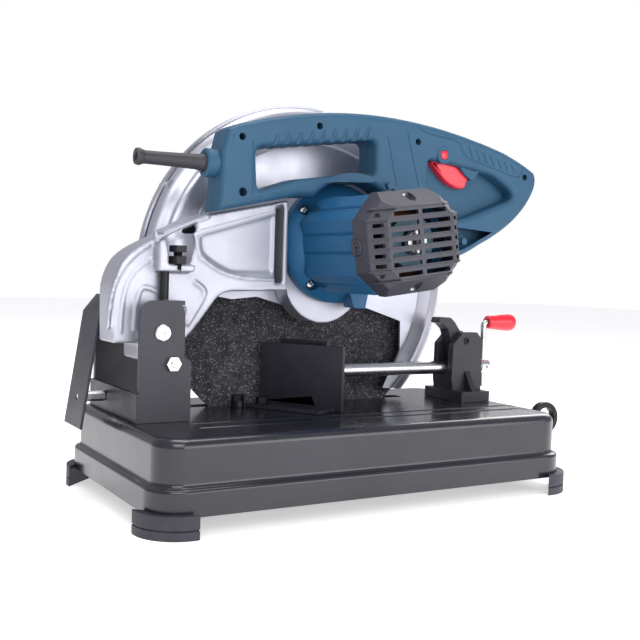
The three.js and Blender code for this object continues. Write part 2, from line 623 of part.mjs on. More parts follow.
function addDrive(group) {
  const steel = finish(PAINT.steel, 0.3, 0.9);
  const dark = finish(0x3a3b3e, 0.5, 0.7);
  const at = [SPINDLE.x, 0, SPINDLE.z];
  const ring = (inner, outer, y0, y1, sides = 24) =>
    turnedY([[inner, y0], [outer, y0], [outer, y1], [inner, y1], [inner, y0]], 0, 0, sides);
  const mesh = Math.atan2(MOTOR.z - SPINDLE.z, MOTOR.x - SPINDLE.x);
  const shaft = turnedY([
    [0, 6], [7.5, 6], [7.5, 49.5], [6, 49.5], [6, 63.5], [4.3, 63.5], [4.3, 46], [0, 46],
  ], 0, 0, 20);
  add(group, 'spindle', shaft, steel, at);
  const gear = cut(
    plateY(gearOutline(GEAR.wheelTeeth, mesh), GEAR.near, GEAR.near + GEAR.width, 1),
    cylinderY(0, 0, 7.5 + GAP, 0, 60, 20),
  );
  add(group, 'spindle_gear', gear, dark, at);
  add(group, 'spindle_front_bearing', ring(7.5 + GAP, 17.5, 37, 46.7), steel, at);
  add(group, 'spindle_rear_bearing', ring(7.5 + GAP, 12, 5, 12.4, 20), steel, at);
  const inner = join(ring(6 + GAP, 32, 49.8, 55.7, 32), ring(6 + GAP, 12.3, 55, 58.6, 32));
  add(group, 'inner_flange', inner, steel, at);
  const wheel = ring(WHEEL.bore, WHEEL.radius, WHEEL.near, WHEEL.near + WHEEL.thickness, 48);
  add(group, 'cutting_wheel', wheel, finish(0x2a2b2d, 0.95, 0), at);
  add(group, 'outer_flange', ring(6 + GAP, 32, 59.3, 64.5, 32), steel, at);
  const wheelBolt = join(
    cylinderY(0, 0, 4, 49, 66, 12),
    cylinderY(0, 0, 10, 64.8, 67, 20),
    cylinderY(0, 0, 8.4, 66, 73, 6),
  );
  add(group, 'wheel_bolt', wheelBolt, steel, at);
}

// ---- motor ---------------------------------------------------------------------------------------------
// The motor's barrel and cap are drawn square to their own axes and turned by the motor's roll.
const rolled = (body) =>
  solid(geometryOf(body).rotateY((-MOTOR.roll * Math.PI) / 180).translate(MOTOR.x, 0, MOTOR.z));
const CAP_SCREWS = [[0, CAP.screw], [0, -CAP.screw]];
const BRUSH = { y: -120, radius: 8 };
const COMMUTATOR = { radius: 14, near: -129, far: -110 };

function motorHousing() {
  const { front, flange, face, halfWidth, halfHeight, chamfer } = HOUSING;
  const section = octagon(halfWidth, halfHeight, chamfer);
  const barrel = cut(loftY(section, front, section, 1), cylinderY(0, 0, MOTOR.bore, front - 1, 2, 36));
  const posts = CAP_SCREWS.map(([x, z]) => cylinderY(x, z, 4.4, front, front + 14, 10));
  const screws = CAP_SCREWS.map(([x, z]) => cylinderY(x, z, 1.9 + GAP, front - 1, front + 12, 10));
  const plate = cylinderY(MOTOR.x, MOTOR.z, flange, 0, face, 48);
  const tab = plateY(outline([[20, 212], [46, 210], [42, 190], [27, 191]], 2), -16, 4, 2);
  return cut(
    join(rolled(cut(join(barrel, ...posts), ...screws)), plate, tab),
    cylinderY(MOTOR.x, MOTOR.z, MOTOR.bore, front + 20, -0.5, 36),
    cylinderY(MOTOR.x, MOTOR.z, 16 + GAP, -2, 11.3, 24),
    cylinderY(MOTOR.x, MOTOR.z, 11, -2, 20, 20),
    cylinderY(SPINDLE.x, SPINDLE.z, 12 + GAP, 4.5, 20, 20),
    ...FLANGE_SCREWS.map(([x, z]) => cylinderY(x, z, 2.4 + GAP, -20, 20, 10)),
    ...FLANGE_SCREWS.map(([x, z]) => cylinderY(x, z, 6.2, -30, 0, 10)),
  );
}

// The louvred end cap: a tapered eight-sided shell with slots, a bearing seat and two screw posts.
function ventCap() {
  const { front, belly, halfWidth, halfHeight, chamfer } = CAP;
  const back = HOUSING.front - GAP;
  const wide = octagon(halfWidth, halfHeight, chamfer);
  const narrow = octagon(halfWidth - 15, halfHeight - 4, chamfer - 6);
  const innerWide = octagon(halfWidth - 3, halfHeight - 11, chamfer - 4);
  const innerNarrow = octagon(halfWidth - 18, halfHeight - 13, chamfer - 8);
  const shell = join(loftY(wide, belly, wide, back), loftY(narrow, front, wide, belly + 0.01));
  const space = join(
    loftY(innerWide, belly, innerWide, back + 1),
    loftY(innerNarrow, front + 3, innerWide, belly + 0.01),
  );
  const seat = cut(
    cylinderY(0, 0, 14.5, front + 1, front + 17, 20),
    cylinderY(0, 0, 11 + GAP, front + 7, front + 20, 20),
  );
  const slots = [];
  const rows = 6;
  for (let row = 0; row < rows; row++) {
    const z = (row - (rows - 1) / 2) * 11.4;
    for (const side of [-1, 1]) {
      const [x0, x1] = side < 0 ? [-30, -3] : [3, 30];
      slots.push(box(x0, x1, front - 5, front + 6.8, z - 2.4, z + 2.4));
    }
  }
  const posts = CAP_SCREWS.map(([x, z]) => cylinderY(x, z, 5, front + 16, back, 12));
  return rolled(cut(
    join(cut(shell, space, ...slots), seat, ...posts),
    ...CAP_SCREWS.map(([x, z]) => cylinderY(x, z, 1.9 + GAP, front - 9, back + 5, 10)),
    ...CAP_SCREWS.map(([x, z]) => cylinderY(x, z, 4.2, front - 9, front + 22, 12)),
    ...[-1, 1].map((side) => cylinderX(BRUSH.y, 0, BRUSH.radius + GAP, ...sideways(side, 30, 70), 20)),
  ));
}

const sideways = (side, a, b) => (side > 0 ? [a, b] : [-b, -a]);

function addMotor(group) {
  const blue = finish(PAINT.blue, 0.45, 0);
  const black = finish(0x1d1e21, 0.5, 0);
  const steel = finish(PAINT.steel, 0.3, 0.9);
  const copper = finish(0xb06a3a, 0.4, 0.8);
  const at = [MOTOR.x, 0, MOTOR.z];
  const { shaft, bore } = MOTOR;
  const end = CAP.front + 9;
  add(group, 'motor_housing', motorHousing(), blue);
  add(group, 'vent_cap', ventCap(), black);
  const mesh = Math.atan2(SPINDLE.z - MOTOR.z, SPINDLE.x - MOTOR.x) + Math.PI / GEAR.pinionTeeth;
  const { radius, near, far } = COMMUTATOR;
  const armature = join(
    turnedY([
      [0, end], [shaft, end], [shaft, near], [radius, near], [radius, far], [6.5, far], [6.5, -92],
      [26, -92], [26, -30], [shaft, -30], [shaft, 31], [0, 31],
    ], 0, 0, 20),
    plateY(gearOutline(GEAR.pinionTeeth, mesh), GEAR.near - 1, GEAR.near + GEAR.width + 0.8, 1),
  );
  add(group, 'armature', armature, copper, at);
  const ring = (inner, outer, y0, y1, sides = 20) =>
    turnedY([[inner, y0], [outer, y0], [outer, y1], [inner, y1], [inner, y0]], 0, 0, sides);
  add(group, 'stator', ring(27, bore - 0.4, -94, -28, 28), finish(0x5b5d61, 0.6, 0.6), at);
  const blades = [];
  for (let i = 0; i < 9; i++) {
    const blade = new THREE.BoxGeometry(26, 8, 2).translate(26, -12, 0);
    blades.push(solid(blade.rotateY((2 * Math.PI * i) / 9)));
  }
  const bush = shaft + GAP;
  const fan = join(
    turnedY([[bush, -15], [10, -15], [14, -9], [40, -9], [40, -6], [bush, -6], [bush, -15]], 0, 0, 24),
    ...blades,
  );
  add(group, 'cooling_fan', fan, black, at);
  add(group, 'armature_front_bearing', ring(bush, 16, 0.5, 11), steel, at);
  add(group, 'armature_rear_bearing', ring(bush, 11, end, end + 7), steel, at);
  for (const side of [-1, 1]) {
    const name = side < 0 ? 'rear' : 'front';
    const cap = cylinderX(BRUSH.y, 0, BRUSH.radius, ...sideways(side, 44, CAP.halfWidth + 1.5), 20);
    add(group, `brush_cap_${name}`, rolled(cap), black);
    const reach = radius + 0.4;
    const brush = join(
      box(...sideways(side, reach, 32), BRUSH.y - 3, BRUSH.y + 3, -5, 5),
      cylinderX(BRUSH.y, 0, 2.5, ...sideways(side, 31, 44 - GAP), 10),
    );
    add(group, `carbon_brush_${name}`, rolled(brush), finish(0x2b2b2b, 0.8, 0.2));
  }
}

// ---- handle ----------------------------------------------------------------------------------------------
// The outline of the handle in x,z: round the back, over the top, round the D-grip and along
// the saddle that lies on the arm and clasps the motor.
function handleShape() {
  const shape = new THREE.Shape();
  const saddle = 66;
  const left = (137 * Math.PI) / 180;
  const right = (-14 * Math.PI) / 180;
  shape.moveTo(-140, 283);
  shape.lineTo(-137, 316);
  shape.lineTo(-141, 320);
  shape.lineTo(-141, 342);
  shape.lineTo(-135, 346);
  shape.lineTo(-131, 362);
  shape.quadraticCurveTo(-127, 366, -118, 369);
  shape.bezierCurveTo(-62, 386, -10, 394, 44, 394);
  shape.bezierCurveTo(105, 394, 165, 384, 216, 371);
  shape.quadraticCurveTo(246, 361, 262, 352);
  shape.quadraticCurveTo(268, 345, 263, 331);
  shape.quadraticCurveTo(245, 292, 184, 264);
  shape.quadraticCurveTo(150, 243, 95, 236);
  shape.lineTo(MOTOR.x + saddle * Math.cos(right), MOTOR.z + saddle * Math.sin(right));
  shape.absarc(MOTOR.x, MOTOR.z, saddle, right, left, false);
  shape.lineTo(-55, 303);
  shape.closePath();
  return shape;
}

const CARRY_HOLE = [[-101, 347, 8], [39, 368, 10], [39, 330, 8], [-10, 327], [-55, 320], [-98, 305, 8]];
const GRIP_HOLE = [[109, 354, 3], [106, 289, 14], [155, 290, 20], [238, 322, 18], [200, 344, 10], [170, 348, 3]];

// Sampled points of an outline moved inwards by `distance` (outwards on a hole's outline).
function inset(points, distance) {
  const sum = points.reduce((total, p, i) => total + p.cross(points[(i + 1) % points.length]), 0);
  const sign = sum > 0 ? 1 : -1;
  return points.map((p, i) => {
    const before = points[(i + points.length - 1) % points.length];
    const after = points[(i + 1) % points.length];
    const u = p.clone().sub(before).normalize();
    const v = after.clone().sub(p).normalize();
    const normal = new THREE.Vector2(-(u.y + v.y), u.x + v.x).normalize().multiplyScalar(sign);
    const lean = Math.max(0.5, normal.dot(new THREE.Vector2(-u.y, u.x)) * sign);
    return p.clone().addScaledVector(normal, distance / lean);
  });
}

function shapeOf(points) {
  const shape = new THREE.Shape();
  shape.setFromPoints(points);
  return shape;
}

function handleShells() {
  const { near, far, split, wall } = HANDLE;
  const rim = handleShape().getSpacedPoints(56).slice(0, -1);
  const holes = [CARRY_HOLE, GRIP_HOLE].map((points) => outline(points).getPoints(3));
  const openings = holes.map((points) => plateY(shapeOf(points), near - 5, far + 5, 1));
  const whole = cut(plateY(shapeOf(rim), near, far, 1), ...openings);
  const thickened = holes.map((points) => plateY(shapeOf(inset(points, -wall)), near - 5, far + 5, 1));
  const space = cut(plateY(shapeOf(inset(rim, wall)), near + wall, far - wall, 1), ...thickened);
  const bosses = HANDLE_SCREWS.map(([x, z]) => cylinderY(x, z, 5.5, near + 1, far - 1, 10));
  const buttonCollar = cylinderY(BUTTON.x, BUTTON.z, 8.5, near + 1, near + 6, 16);
  const body = cut(
    join(cut(whole, space), ...bosses, buttonCollar),
    triggerSpace(),
    cylinderY(BUTTON.x, BUTTON.z, BUTTON.radius + GAP, near - 5, near + 20, 16),
    cylinderX(HANDLE.split, BOOT.z, BOOT.radius + GAP, BOOT.x - 20, BOOT.x, 18),
    cylinderX(HANDLE.split, BOOT.z, 11, BOOT.x - 4.5, BOOT.x + 8, 18),
    box(-60, 90, near - 1, far + 1, 200, 250),
  );
  const nearBox = box(-400, 400, near - 5, split - GAP / 2, 100, 500);
  const farBox = box(-400, 400, split + GAP / 2, far + 5, 100, 500);
  return [body.intersect(nearBox), body.intersect(farBox)];
}

const HANDLE_SCREWS = [[-119, 355], [-38, 376], [-120, 303], [84, 372], [244, 342], [150, 267], [55, 321]];
const BUTTON = { x: 127, z: 360, radius: 5 };
const BOOT = { x: -134, z: 330, radius: 9 };

function triggerSpace() {
  const opening = outline([[113, 359.5], [175, 355.5], [173, 335], [143, 335], [111, 345]]);
  return plateY(opening, HANDLE.split - 10.4, HANDLE.split + 10.4, 1);
}

function addHandle(group) {
  const blue = finish(PAINT.blue, 0.5, 0);
  const red = finish(PAINT.red, 0.35, 0);
  const rubber = finish(0x303136, 0.7, 0);
  const [near, far] = handleShells();
  add(group, 'handle_near_shell', near, blue);
  add(group, 'handle_far_shell', far, blue);
  const y = HANDLE.split;
  const blade = plateY(
    outline([[116, 354, 2], [126, 356, 1], [171, 349, 1], [171, 343, 1], [164, 326, 4], [137, 331, 12]]),
    y - 10, y + 10, 3,
  );
  add(group, 'trigger', blade, red);
  const button = join(
    cylinderY(BUTTON.x, BUTTON.z, BUTTON.radius, HANDLE.near - 2, HANDLE.near + 4.5, 16),
    cylinderY(BUTTON.x, BUTTON.z, 2.6, HANDLE.near + 4, HANDLE.near + 15, 10),
  );
  add(group, 'lock_button', button, red);
  add(group, 'switch_module', box(134, 170, y - 9, y + 9, 357.5, 377), rubber);
  const boot = turnedY([
    [3.6, 0], [10.6, 0], [10.6, 4], [BOOT.radius, 4], [BOOT.radius, 12], [7.4, 22], [6.2, 76], [8, 80],
    [8, 83], [3.6, 83], [3.6, 0],
  ], 0, 0, 20);
  const along = new THREE.Matrix4().makeRotationZ(Math.PI / 2).setPosition(BOOT.x, y, BOOT.z);
  add(group, 'strain_relief', solid(geometryOf(boot).applyMatrix4(along)), rubber);
}

// ---- stored wrench ---------------------------------------------------------------------------------
// The ring spanner for the wheel bolt, slid into its slot in the end wall.
function addWrench() {
  const { x, y, z, ring, thickness, shank } = WRENCH;
  const half = thickness / 2;
  const body = cut(
    join(
      cylinderY(x, z, ring, y - half - 1.5, y + half + 1.5, 32),
      box(x - ring - shank, x - ring + 4, y - half, y + half, z - 7, z + 7),
    ),
    cylinderY(x, z, 12.5, y - 10, y + 10, 12),
  );
  add(part, 'wheel_wrench', body, finish(0x1b1c1f, 0.45, 0.7));
}

addBase();
addRear();
addWrench();
addFence();
addVise();
const head = new THREE.Group();
addArm(head);
addDrive(head);
addMotor(head);
addHandle(head);
part.add(head);
part.position.set(CENTRE.x, CENTRE.y, 0);
export default part;
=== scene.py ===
"""Abrasive chop saw: the visible pieces of the saw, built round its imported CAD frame.

Lengths are millimetres in the saw's own layout, where x = y = 0 is the middle of the base and
z = 0 is the floor; they become metres in the frame as each piece is made. +X is towards the
operator's grip and -Y is towards the motor.
"""
import math

import bmesh
import bpy
from mathutils import Matrix, Vector


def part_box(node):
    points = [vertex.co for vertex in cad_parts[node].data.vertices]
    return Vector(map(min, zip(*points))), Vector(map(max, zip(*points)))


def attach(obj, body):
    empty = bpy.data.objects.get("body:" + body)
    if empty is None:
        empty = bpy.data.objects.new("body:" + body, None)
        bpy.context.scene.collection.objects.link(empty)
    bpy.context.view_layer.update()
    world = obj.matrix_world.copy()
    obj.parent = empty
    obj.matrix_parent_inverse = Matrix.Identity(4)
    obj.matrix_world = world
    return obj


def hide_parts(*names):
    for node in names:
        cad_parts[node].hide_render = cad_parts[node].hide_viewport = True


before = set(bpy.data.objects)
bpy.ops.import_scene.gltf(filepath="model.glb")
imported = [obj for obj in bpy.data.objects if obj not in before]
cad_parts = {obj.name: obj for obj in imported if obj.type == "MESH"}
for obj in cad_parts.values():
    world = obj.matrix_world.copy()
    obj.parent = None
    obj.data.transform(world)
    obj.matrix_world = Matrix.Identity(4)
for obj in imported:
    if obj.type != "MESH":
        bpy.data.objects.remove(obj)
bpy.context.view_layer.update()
MM = 0.001
pan_low, pan_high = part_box("base_pan")
BASE_X = (pan_low.x + pan_high.x) / 2
BASE_Y = (pan_low.y + pan_high.y) / 2

# ---- driving dimensions, as in the CAD model -------------------------------------------------
BASE = dict(length=470, width=264, corner=32)
PIVOT = (-194, 167)
SPINDLE = (6, 220)
MOTOR = (15, 259)
ROLL = math.radians(8)
HANDLE = dict(near=-33, far=6, split=-14)
HOUSING = dict(front=-112, half_width=51, half_height=48, chamfer=21)
CAP = dict(front=-151, belly=-137, half_width=53, half_height=50, chamfer=24, screw=43.5)
VISE = dict(y=16, z=121, pin=(194.5, 153))
CRANK = dict(x=234.5, up=53, rod=3.6, grip=239.4)
WRENCH = dict(y=-74, z=70)
BOOT = dict(x=-134, z=330)
BUTTON = (127, 360)
HANDLE_SCREWS = [(-117, 356), (-31, 375), (-115, 303), (92, 371), (246, 345), (157, 267), (55, 321)]


# ---- camera and light ------------------------------------------------------------------------
def to_frame(x, y, z):
    return Vector((BASE_X + x * MM, BASE_Y + y * MM, z * MM))


def add_camera():
    heading, tilt, roll = map(math.radians, (-30.693, 2.772, 1.703))
    across = math.cos(tilt)
    forward = Vector((-math.sin(heading) * across, math.cos(heading) * across, -math.sin(tilt)))
    level = Vector((math.cos(heading), math.sin(heading), 0))
    upright = level.cross(forward)
    right = math.cos(roll) * level + math.sin(roll) * upright
    up = math.cos(roll) * upright - math.sin(roll) * level
    data = bpy.data.cameras.new("camera")
    data.lens = 52.73
    data.sensor_width = 36
    camera = bpy.data.objects.new("camera", data)
    bpy.context.scene.collection.objects.link(camera)
    turn = Matrix((right, up, -forward)).transposed().to_4x4()
    camera.matrix_world = Matrix.Translation(to_frame(-512.49, -855.32, 225.45)) @ turn
    bpy.context.scene.camera = camera


def area_light(name, place, aim, size, power):
    data = bpy.data.lights.new(name, "AREA")
    data.shape = "RECTANGLE"
    data.size, data.size_y = size
    data.energy = power
    lamp = bpy.data.objects.new(name, data)
    bpy.context.scene.collection.objects.link(lamp)
    lamp.location = place
    lamp.rotation_euler = (Vector(aim) - Vector(place)).to_track_quat("-Z", "Y").to_euler()


def add_stage():
    """A white studio: the sky is plain white in view and dimmer as a light."""
    world = bpy.data.worlds.new("studio")
    world.use_nodes = True
    tree = world.node_tree
    sky = tree.nodes["Background"]
    sky.inputs["Color"].default_value = (0.93, 0.93, 1.0, 1)
    sky.inputs["Strength"].default_value = 0.5
    seen = tree.nodes.new("ShaderNodeBackground")
    seen.inputs["Strength"].default_value = 1.0
    rays = tree.nodes.new("ShaderNodeLightPath")
    choice = tree.nodes.new("ShaderNodeMixShader")
    tree.links.new(rays.outputs["Is Camera Ray"], choice.inputs["Fac"])
    tree.links.new(sky.outputs["Background"], choice.inputs[1])
    tree.links.new(seen.outputs["Background"], choice.inputs[2])
    tree.links.new(choice.outputs["Shader"], tree.nodes["World Output"].inputs["Surface"])
    seen.inputs["Color"].default_value = (1, 1, 1, 1)
    bpy.context.scene.world = world
    bpy.context.scene.view_settings.view_transform = "Standard"
    mesh = bpy.data.meshes.new("floor")
    half = 6
    corners = [(-half, -half, 0), (half, -half, 0), (half, half, 0), (-half, half, 0)]
    mesh.from_pydata(corners, [], [(0, 1, 2, 3)])
    floor = bpy.data.objects.new("floor", mesh)
    bpy.context.scene.collection.objects.link(floor)
    paper = bpy.data.materials.new("floor_paper")
    paper.use_nodes = True
    shader = paper.node_tree.nodes["Principled BSDF"]
    shader.inputs["Base Color"].default_value = (0.9, 0.9, 0.9, 1)
    shader.inputs["Roughness"].default_value = 0.85
    shader.inputs["Emission Color"].default_value = (1, 1, 1, 1)
    shader.inputs["Emission Strength"].default_value = 0.5
    mesh.materials.append(paper)
    area_light("key", (-0.9, -1.9, 1.5), (0, 0, 0.2), (1.5, 1.2), 24)
    area_light("front", (0.8, -2.2, 0.55), (0, 0, 0.15), (2.2, 0.9), 20)
    area_light("top", (0.1, 0.1, 2.1), (0, 0, 0.1), (1.4, 1.2), 22)
    area_light("rim", (1.7, 1.0, 1.1), (0, 0, 0.25), (1.2, 1.0), 14)


# ---- materials -------------------------------------------------------------------------------
class Nodes:
    """A material's node tree with a short way to add nodes."""

    def __init__(self, name):
        self.material = bpy.data.materials.new(name)
        self.material.use_nodes = True
        self.tree = self.material.node_tree
        self.shader = self.tree.nodes["Principled BSDF"]
        self.coords = self.add("ShaderNodeTexCoord").outputs["Object"]

    def add(self, kind, **settings):
        node = self.tree.nodes.new(kind)
        for key, value in settings.items():
            setattr(node, key, value)
        return node

    def link(self, a, b):
        self.tree.links.new(a, b)

    def noise(self, scale, detail=3, stretch=None):
        node = self.add("ShaderNodeTexNoise")
        node.inputs["Scale"].default_value = scale
        node.inputs["Detail"].default_value = detail
        source = self.coords
        if stretch:
            mapping = self.add("ShaderNodeMapping")
            mapping.inputs["Scale"].default_value = stretch
            self.link(source, mapping.inputs["Vector"])
            source = mapping.outputs["Vector"]
        self.link(source, node.inputs["Vector"])
        return node.outputs["Fac"]

    def span(self, value, low, high, start=0.3, end=0.7):
        node = self.add("ShaderNodeMapRange")
        node.inputs["From Min"].default_value = start
        node.inputs["From Max"].default_value = end
        node.inputs["To Min"].default_value = low
        node.inputs["To Max"].default_value = high
        self.link(value, node.inputs["Value"])
        return node.outputs["Result"]

    def blend(self, value, first, second):
        node = self.add("ShaderNodeMix", data_type="RGBA")
        for socket, colour in ((node.inputs[6], first), (node.inputs[7], second)):
            if hasattr(colour, "is_output"):
                self.link(colour, socket)
            else:
                socket.default_value = (*colour, 1)
        self.link(value, node.inputs[0])
        return node.outputs[2]

    def bump(self, heights, distance):
        last = None
        for height, strength in heights:
            node = self.add("ShaderNodeBump")
            node.inputs["Strength"].default_value = strength
            node.inputs["Distance"].default_value = distance
            self.link(height, node.inputs["Height"])
            if last:
                self.link(last, node.inputs["Normal"])
            last = node.outputs["Normal"]
        self.link(last, self.shader.inputs["Normal"])


def finish(name, colour, rough, metal=0.0, vary=0.12, grain=(900, 0.05), wave=(18, 0.02), coat=0.0,
           specular=0.5, stretch=None, dust=0.0):
    """A base finish: slow colour and gloss variation, a fine grain and a long, weak unevenness."""
    nodes = Nodes(name)
    slow = nodes.noise(14, 4)
    fine = nodes.noise(grain[0], 2, stretch)
    low = tuple(c * (1 - vary) for c in colour)
    high = tuple(min(1, c * (1 + vary)) for c in colour)
    tint = nodes.blend(nodes.span(slow, 0, 1), low, high)
    if dust:
        patches = nodes.span(nodes.noise(55, 6), 0, dust, 0.5, 0.75)
        tint = nodes.blend(patches, tint, (0.32, 0.31, 0.3))
    nodes.link(tint, nodes.shader.inputs["Base Color"])
    gloss = nodes.span(nodes.noise(40, 5), rough * 0.88, min(1, rough * 1.14))
    nodes.link(gloss, nodes.shader.inputs["Roughness"])
    nodes.shader.inputs["Metallic"].default_value = metal
    nodes.shader.inputs["Coat Weight"].default_value = coat
    nodes.shader.inputs["Coat Roughness"].default_value = 0.12
    nodes.shader.inputs["Specular IOR Level"].default_value = specular
    nodes.bump([(fine, grain[1]), (nodes.noise(wave[0], 2), wave[1])], 0.001)
    return nodes.material


def grit(name):
    """The cutting wheel's face: dark resin with pale and glinting grains standing in it."""
    nodes = Nodes(name)
    cells = nodes.add("ShaderNodeTexVoronoi")
    cells.inputs["Scale"].default_value = 620
    nodes.link(nodes.coords, cells.inputs["Vector"])
    pale = nodes.span(cells.outputs["Distance"], 1, 0, 0.1, 0.42)
    pick = nodes.span(nodes.noise(330, 2), 0, 1, 0.42, 0.6)
    both = nodes.add("ShaderNodeMath", operation="MULTIPLY")
    nodes.link(pale, both.inputs[0])
    nodes.link(pick, both.inputs[1])
    ground = nodes.blend(nodes.span(nodes.noise(90, 5), 0, 1), (0.012, 0.012, 0.015), (0.045, 0.045, 0.052))
    nodes.link(nodes.blend(both.outputs[0], ground, (0.42, 0.42, 0.45)), nodes.shader.inputs["Base Color"])
    nodes.shader.inputs["Roughness"].default_value = 0.85
    nodes.bump([(cells.outputs["Distance"], 0.7), (nodes.noise(420, 5), 0.8)], 0.0007)
    return nodes.material


TEAL = finish("teal_plastic", (0.015, 0.110, 0.245), 0.44, vary=0.05, grain=(2600, 0.16), specular=0.4)
HANDLE_TEAL = finish("handle_plastic", (0.022, 0.086, 0.158), 0.5, vary=0.05, grain=(2600, 0.2), specular=0.4)
CAP_BLACK = finish("cap_plastic", (0.040, 0.039, 0.056), 0.42, grain=(2600, 0.2), specular=0.6)
RED = finish("red_plastic", (0.78, 0.012, 0.035), 0.3, vary=0.04, grain=(1500, 0.02), coat=0.25)
ENAMEL = finish("black_enamel", (0.014, 0.0135, 0.021), 0.25, vary=0.2, grain=(500, 0.03), wave=(30, 0.05),
                coat=0.35, dust=0.012)
PLATE = finish("black_powder_coat", (0.020, 0.0195, 0.030), 0.38, vary=0.2, grain=(900, 0.1), dust=0.02)
CASTING = finish("silver_painted_casting", (0.45, 0.455, 0.52), 0.4, metal=0.7, vary=0.04, grain=(1100, 0.12),
                 wave=(60, 0.06))
GUARD_SILVER = finish("silver_guard", (0.47, 0.475, 0.54), 0.33, metal=0.75, vary=0.04, grain=(1100, 0.08),
                      wave=(40, 0.05))
ZINC = finish("zinc_plate", (0.66, 0.67, 0.69), 0.26, metal=1.0, vary=0.1, grain=(500, 0.1),
              stretch=(0.05, 1, 1))
TURNED = finish("turned_steel", (0.58, 0.58, 0.6), 0.32, metal=1.0, vary=0.08, grain=(700, 0.2))
BLACK_STEEL = finish("blackened_steel", (0.02, 0.02, 0.023), 0.38, metal=0.6, vary=0.3, grain=(400, 0.15))
CAST_BLACK = finish("black_casting", (0.020, 0.0195, 0.029), 0.42, vary=0.25, grain=(700, 0.35),
                    wave=(160, 0.2), dust=0.02)
RUBBER = finish("rubber", (0.030, 0.029, 0.042), 0.55, vary=0.2, grain=(1400, 0.2), dust=0.05)
BOOT_RUBBER = finish("boot_rubber", (0.03, 0.028, 0.035), 0.5, vary=0.1, grain=(1400, 0.12))
DARK_STEEL = finish("oiled_steel", (0.09, 0.09, 0.1), 0.42, metal=1.0, vary=0.2, grain=(400, 0.2))
COPPER = finish("copper_windings", (0.16, 0.07, 0.035), 0.4, metal=0.9, grain=(500, 0.4),
                stretch=(1, 0.05, 1))
PALE_TEAL = finish("brush_frame_plastic", (0.10, 0.21, 0.30), 0.5, vary=0.06)
DARK = finish("dark_recess", (0.004, 0.004, 0.005), 0.7)
GRIT = grit("abrasive_grit")


# ---- mesh tools ------------------------------------------------------------------------------
def mesh_of(obj):
    graph = bpy.context.evaluated_depsgraph_get()
    mesh = bpy.data.meshes.new_from_object(obj.evaluated_get(graph))
    return mesh


def link_new(name, mesh):
    obj = bpy.data.objects.new(name, mesh)
    bpy.context.scene.collection.objects.link(obj)
    return obj


def from_bmesh(name, bm):
    mesh = bpy.data.meshes.new(name)
    bm.to_mesh(mesh)
    bm.free()
    return link_new(name, mesh)


def apply_modifiers(obj):
    mesh = mesh_of(obj)
    obj.modifiers.clear()
    obj.data = mesh
    return obj


def bevelled(obj, width, segments=3, angle=32):
    tool = obj.modifiers.new("bevel", "BEVEL")
    tool.width = width
    tool.segments = segments
    tool.limit_method = "ANGLE"
    tool.angle_limit = math.radians(angle)
    tool.use_clamp_overlap = True
    return apply_modifiers(obj)


def boolean(obj, tools, operation="DIFFERENCE"):
    """Cuts the tools from obj, joins them to it, or keeps what they share, and removes the tools."""
    for tool in tools if isinstance(tools, (list, tuple)) else [tools]:
        step = obj.modifiers.new("boolean", "BOOLEAN")
        step.operation = operation
        step.solver = "EXACT"
        step.object = tool
        apply_modifiers(obj)
        bpy.data.objects.remove(tool)
    return obj


def joined(objs):
    """One object from several that don't touch, or that are only used as one cutting tool."""
    bm = bmesh.new()
    for obj in objs:
        bm.from_mesh(obj.data)
        bpy.data.objects.remove(obj)
    return from_bmesh("joined", bm)


def merged(obj, distance=0.004):
    bm = bmesh.new()
    bm.from_mesh(obj.data)
    bmesh.ops.remove_doubles(bm, verts=bm.verts, dist=distance)
    bmesh.ops.dissolve_degenerate(bm, edges=bm.edges, dist=distance)
    bm.to_mesh(obj.data)
    bm.free()
    return obj


def loft(rings, name="loft"):
    """A closed solid through rings of points, each ring with the same number, capped at both ends."""
    bm = bmesh.new()
    rows = [[bm.verts.new(p) for p in ring] for ring in rings]
    count = len(rows[0])
    for a, b in zip(rows, rows[1:]):
        for i in range(count):
            j = (i + 1) % count
            bm.faces.new((a[i], a[j], b[j], b[i]))
    bm.faces.new(list(reversed(rows[0])))
    bm.faces.new(rows[-1])
    bmesh.ops.recalc_face_normals(bm, faces=bm.faces)
    return from_bmesh(name, bm)


def lathe(profile, centre, axis="Y", sides=96, name="lathe"):
    """A turned solid: profile points are (radius, place along the axis); it starts and ends on the
    axis, or closes on itself."""
    bm = bmesh.new()
    rows = []
    for radius, along in profile:
        if radius < 1e-6:
            rows.append([bm.verts.new(axial(axis, centre, 0, 0, along))])
            continue
        row = []
        for i in range(sides):
            a = 2 * math.pi * i / sides
            row.append(bm.verts.new(axial(axis, centre, radius * math.cos(a), radius * math.sin(a), along)))
        rows.append(row)
    closed = len(rows[0]) > 1
    pairs = list(zip(rows, rows[1:])) + ([(rows[-1], rows[0])] if closed else [])
    for a, b in pairs:
        for i in range(sides):
            j = (i + 1) % sides
            if len(a) == 1 and len(b) == 1:
                continue
            if len(a) == 1:
                bm.faces.new((a[0], b[j], b[i]))
            elif len(b) == 1:
                bm.faces.new((a[i], a[j], b[0]))
            else:
                bm.faces.new((a[i], a[j], b[j], b[i]))
    bmesh.ops.recalc_face_normals(bm, faces=bm.faces)
    return from_bmesh(name, bm)


def axial(axis, centre, u, v, along):
    """The point at u, v round an axis through centre, which gives the two other coordinates."""
    if axis == "Y":
        return (centre[0] + u, along, centre[1] + v)
    if axis == "X":
        return (along, centre[0] + u, centre[1] + v)
    return (centre[0] + u, centre[1] + v, along)


def rod(centre, radius, start, end, axis="Y", sides=40, round_by=0.0):
    if not round_by:
        return lathe([(0, start), (radius, start), (radius, end), (0, end)], centre, axis, sides)
    low = fillet(radius, start, round_by, 1)
    high = fillet(radius, end, round_by, -1)[::-1]
    return lathe([(0, start), *low, *high, (0, end)], centre, axis, sides)


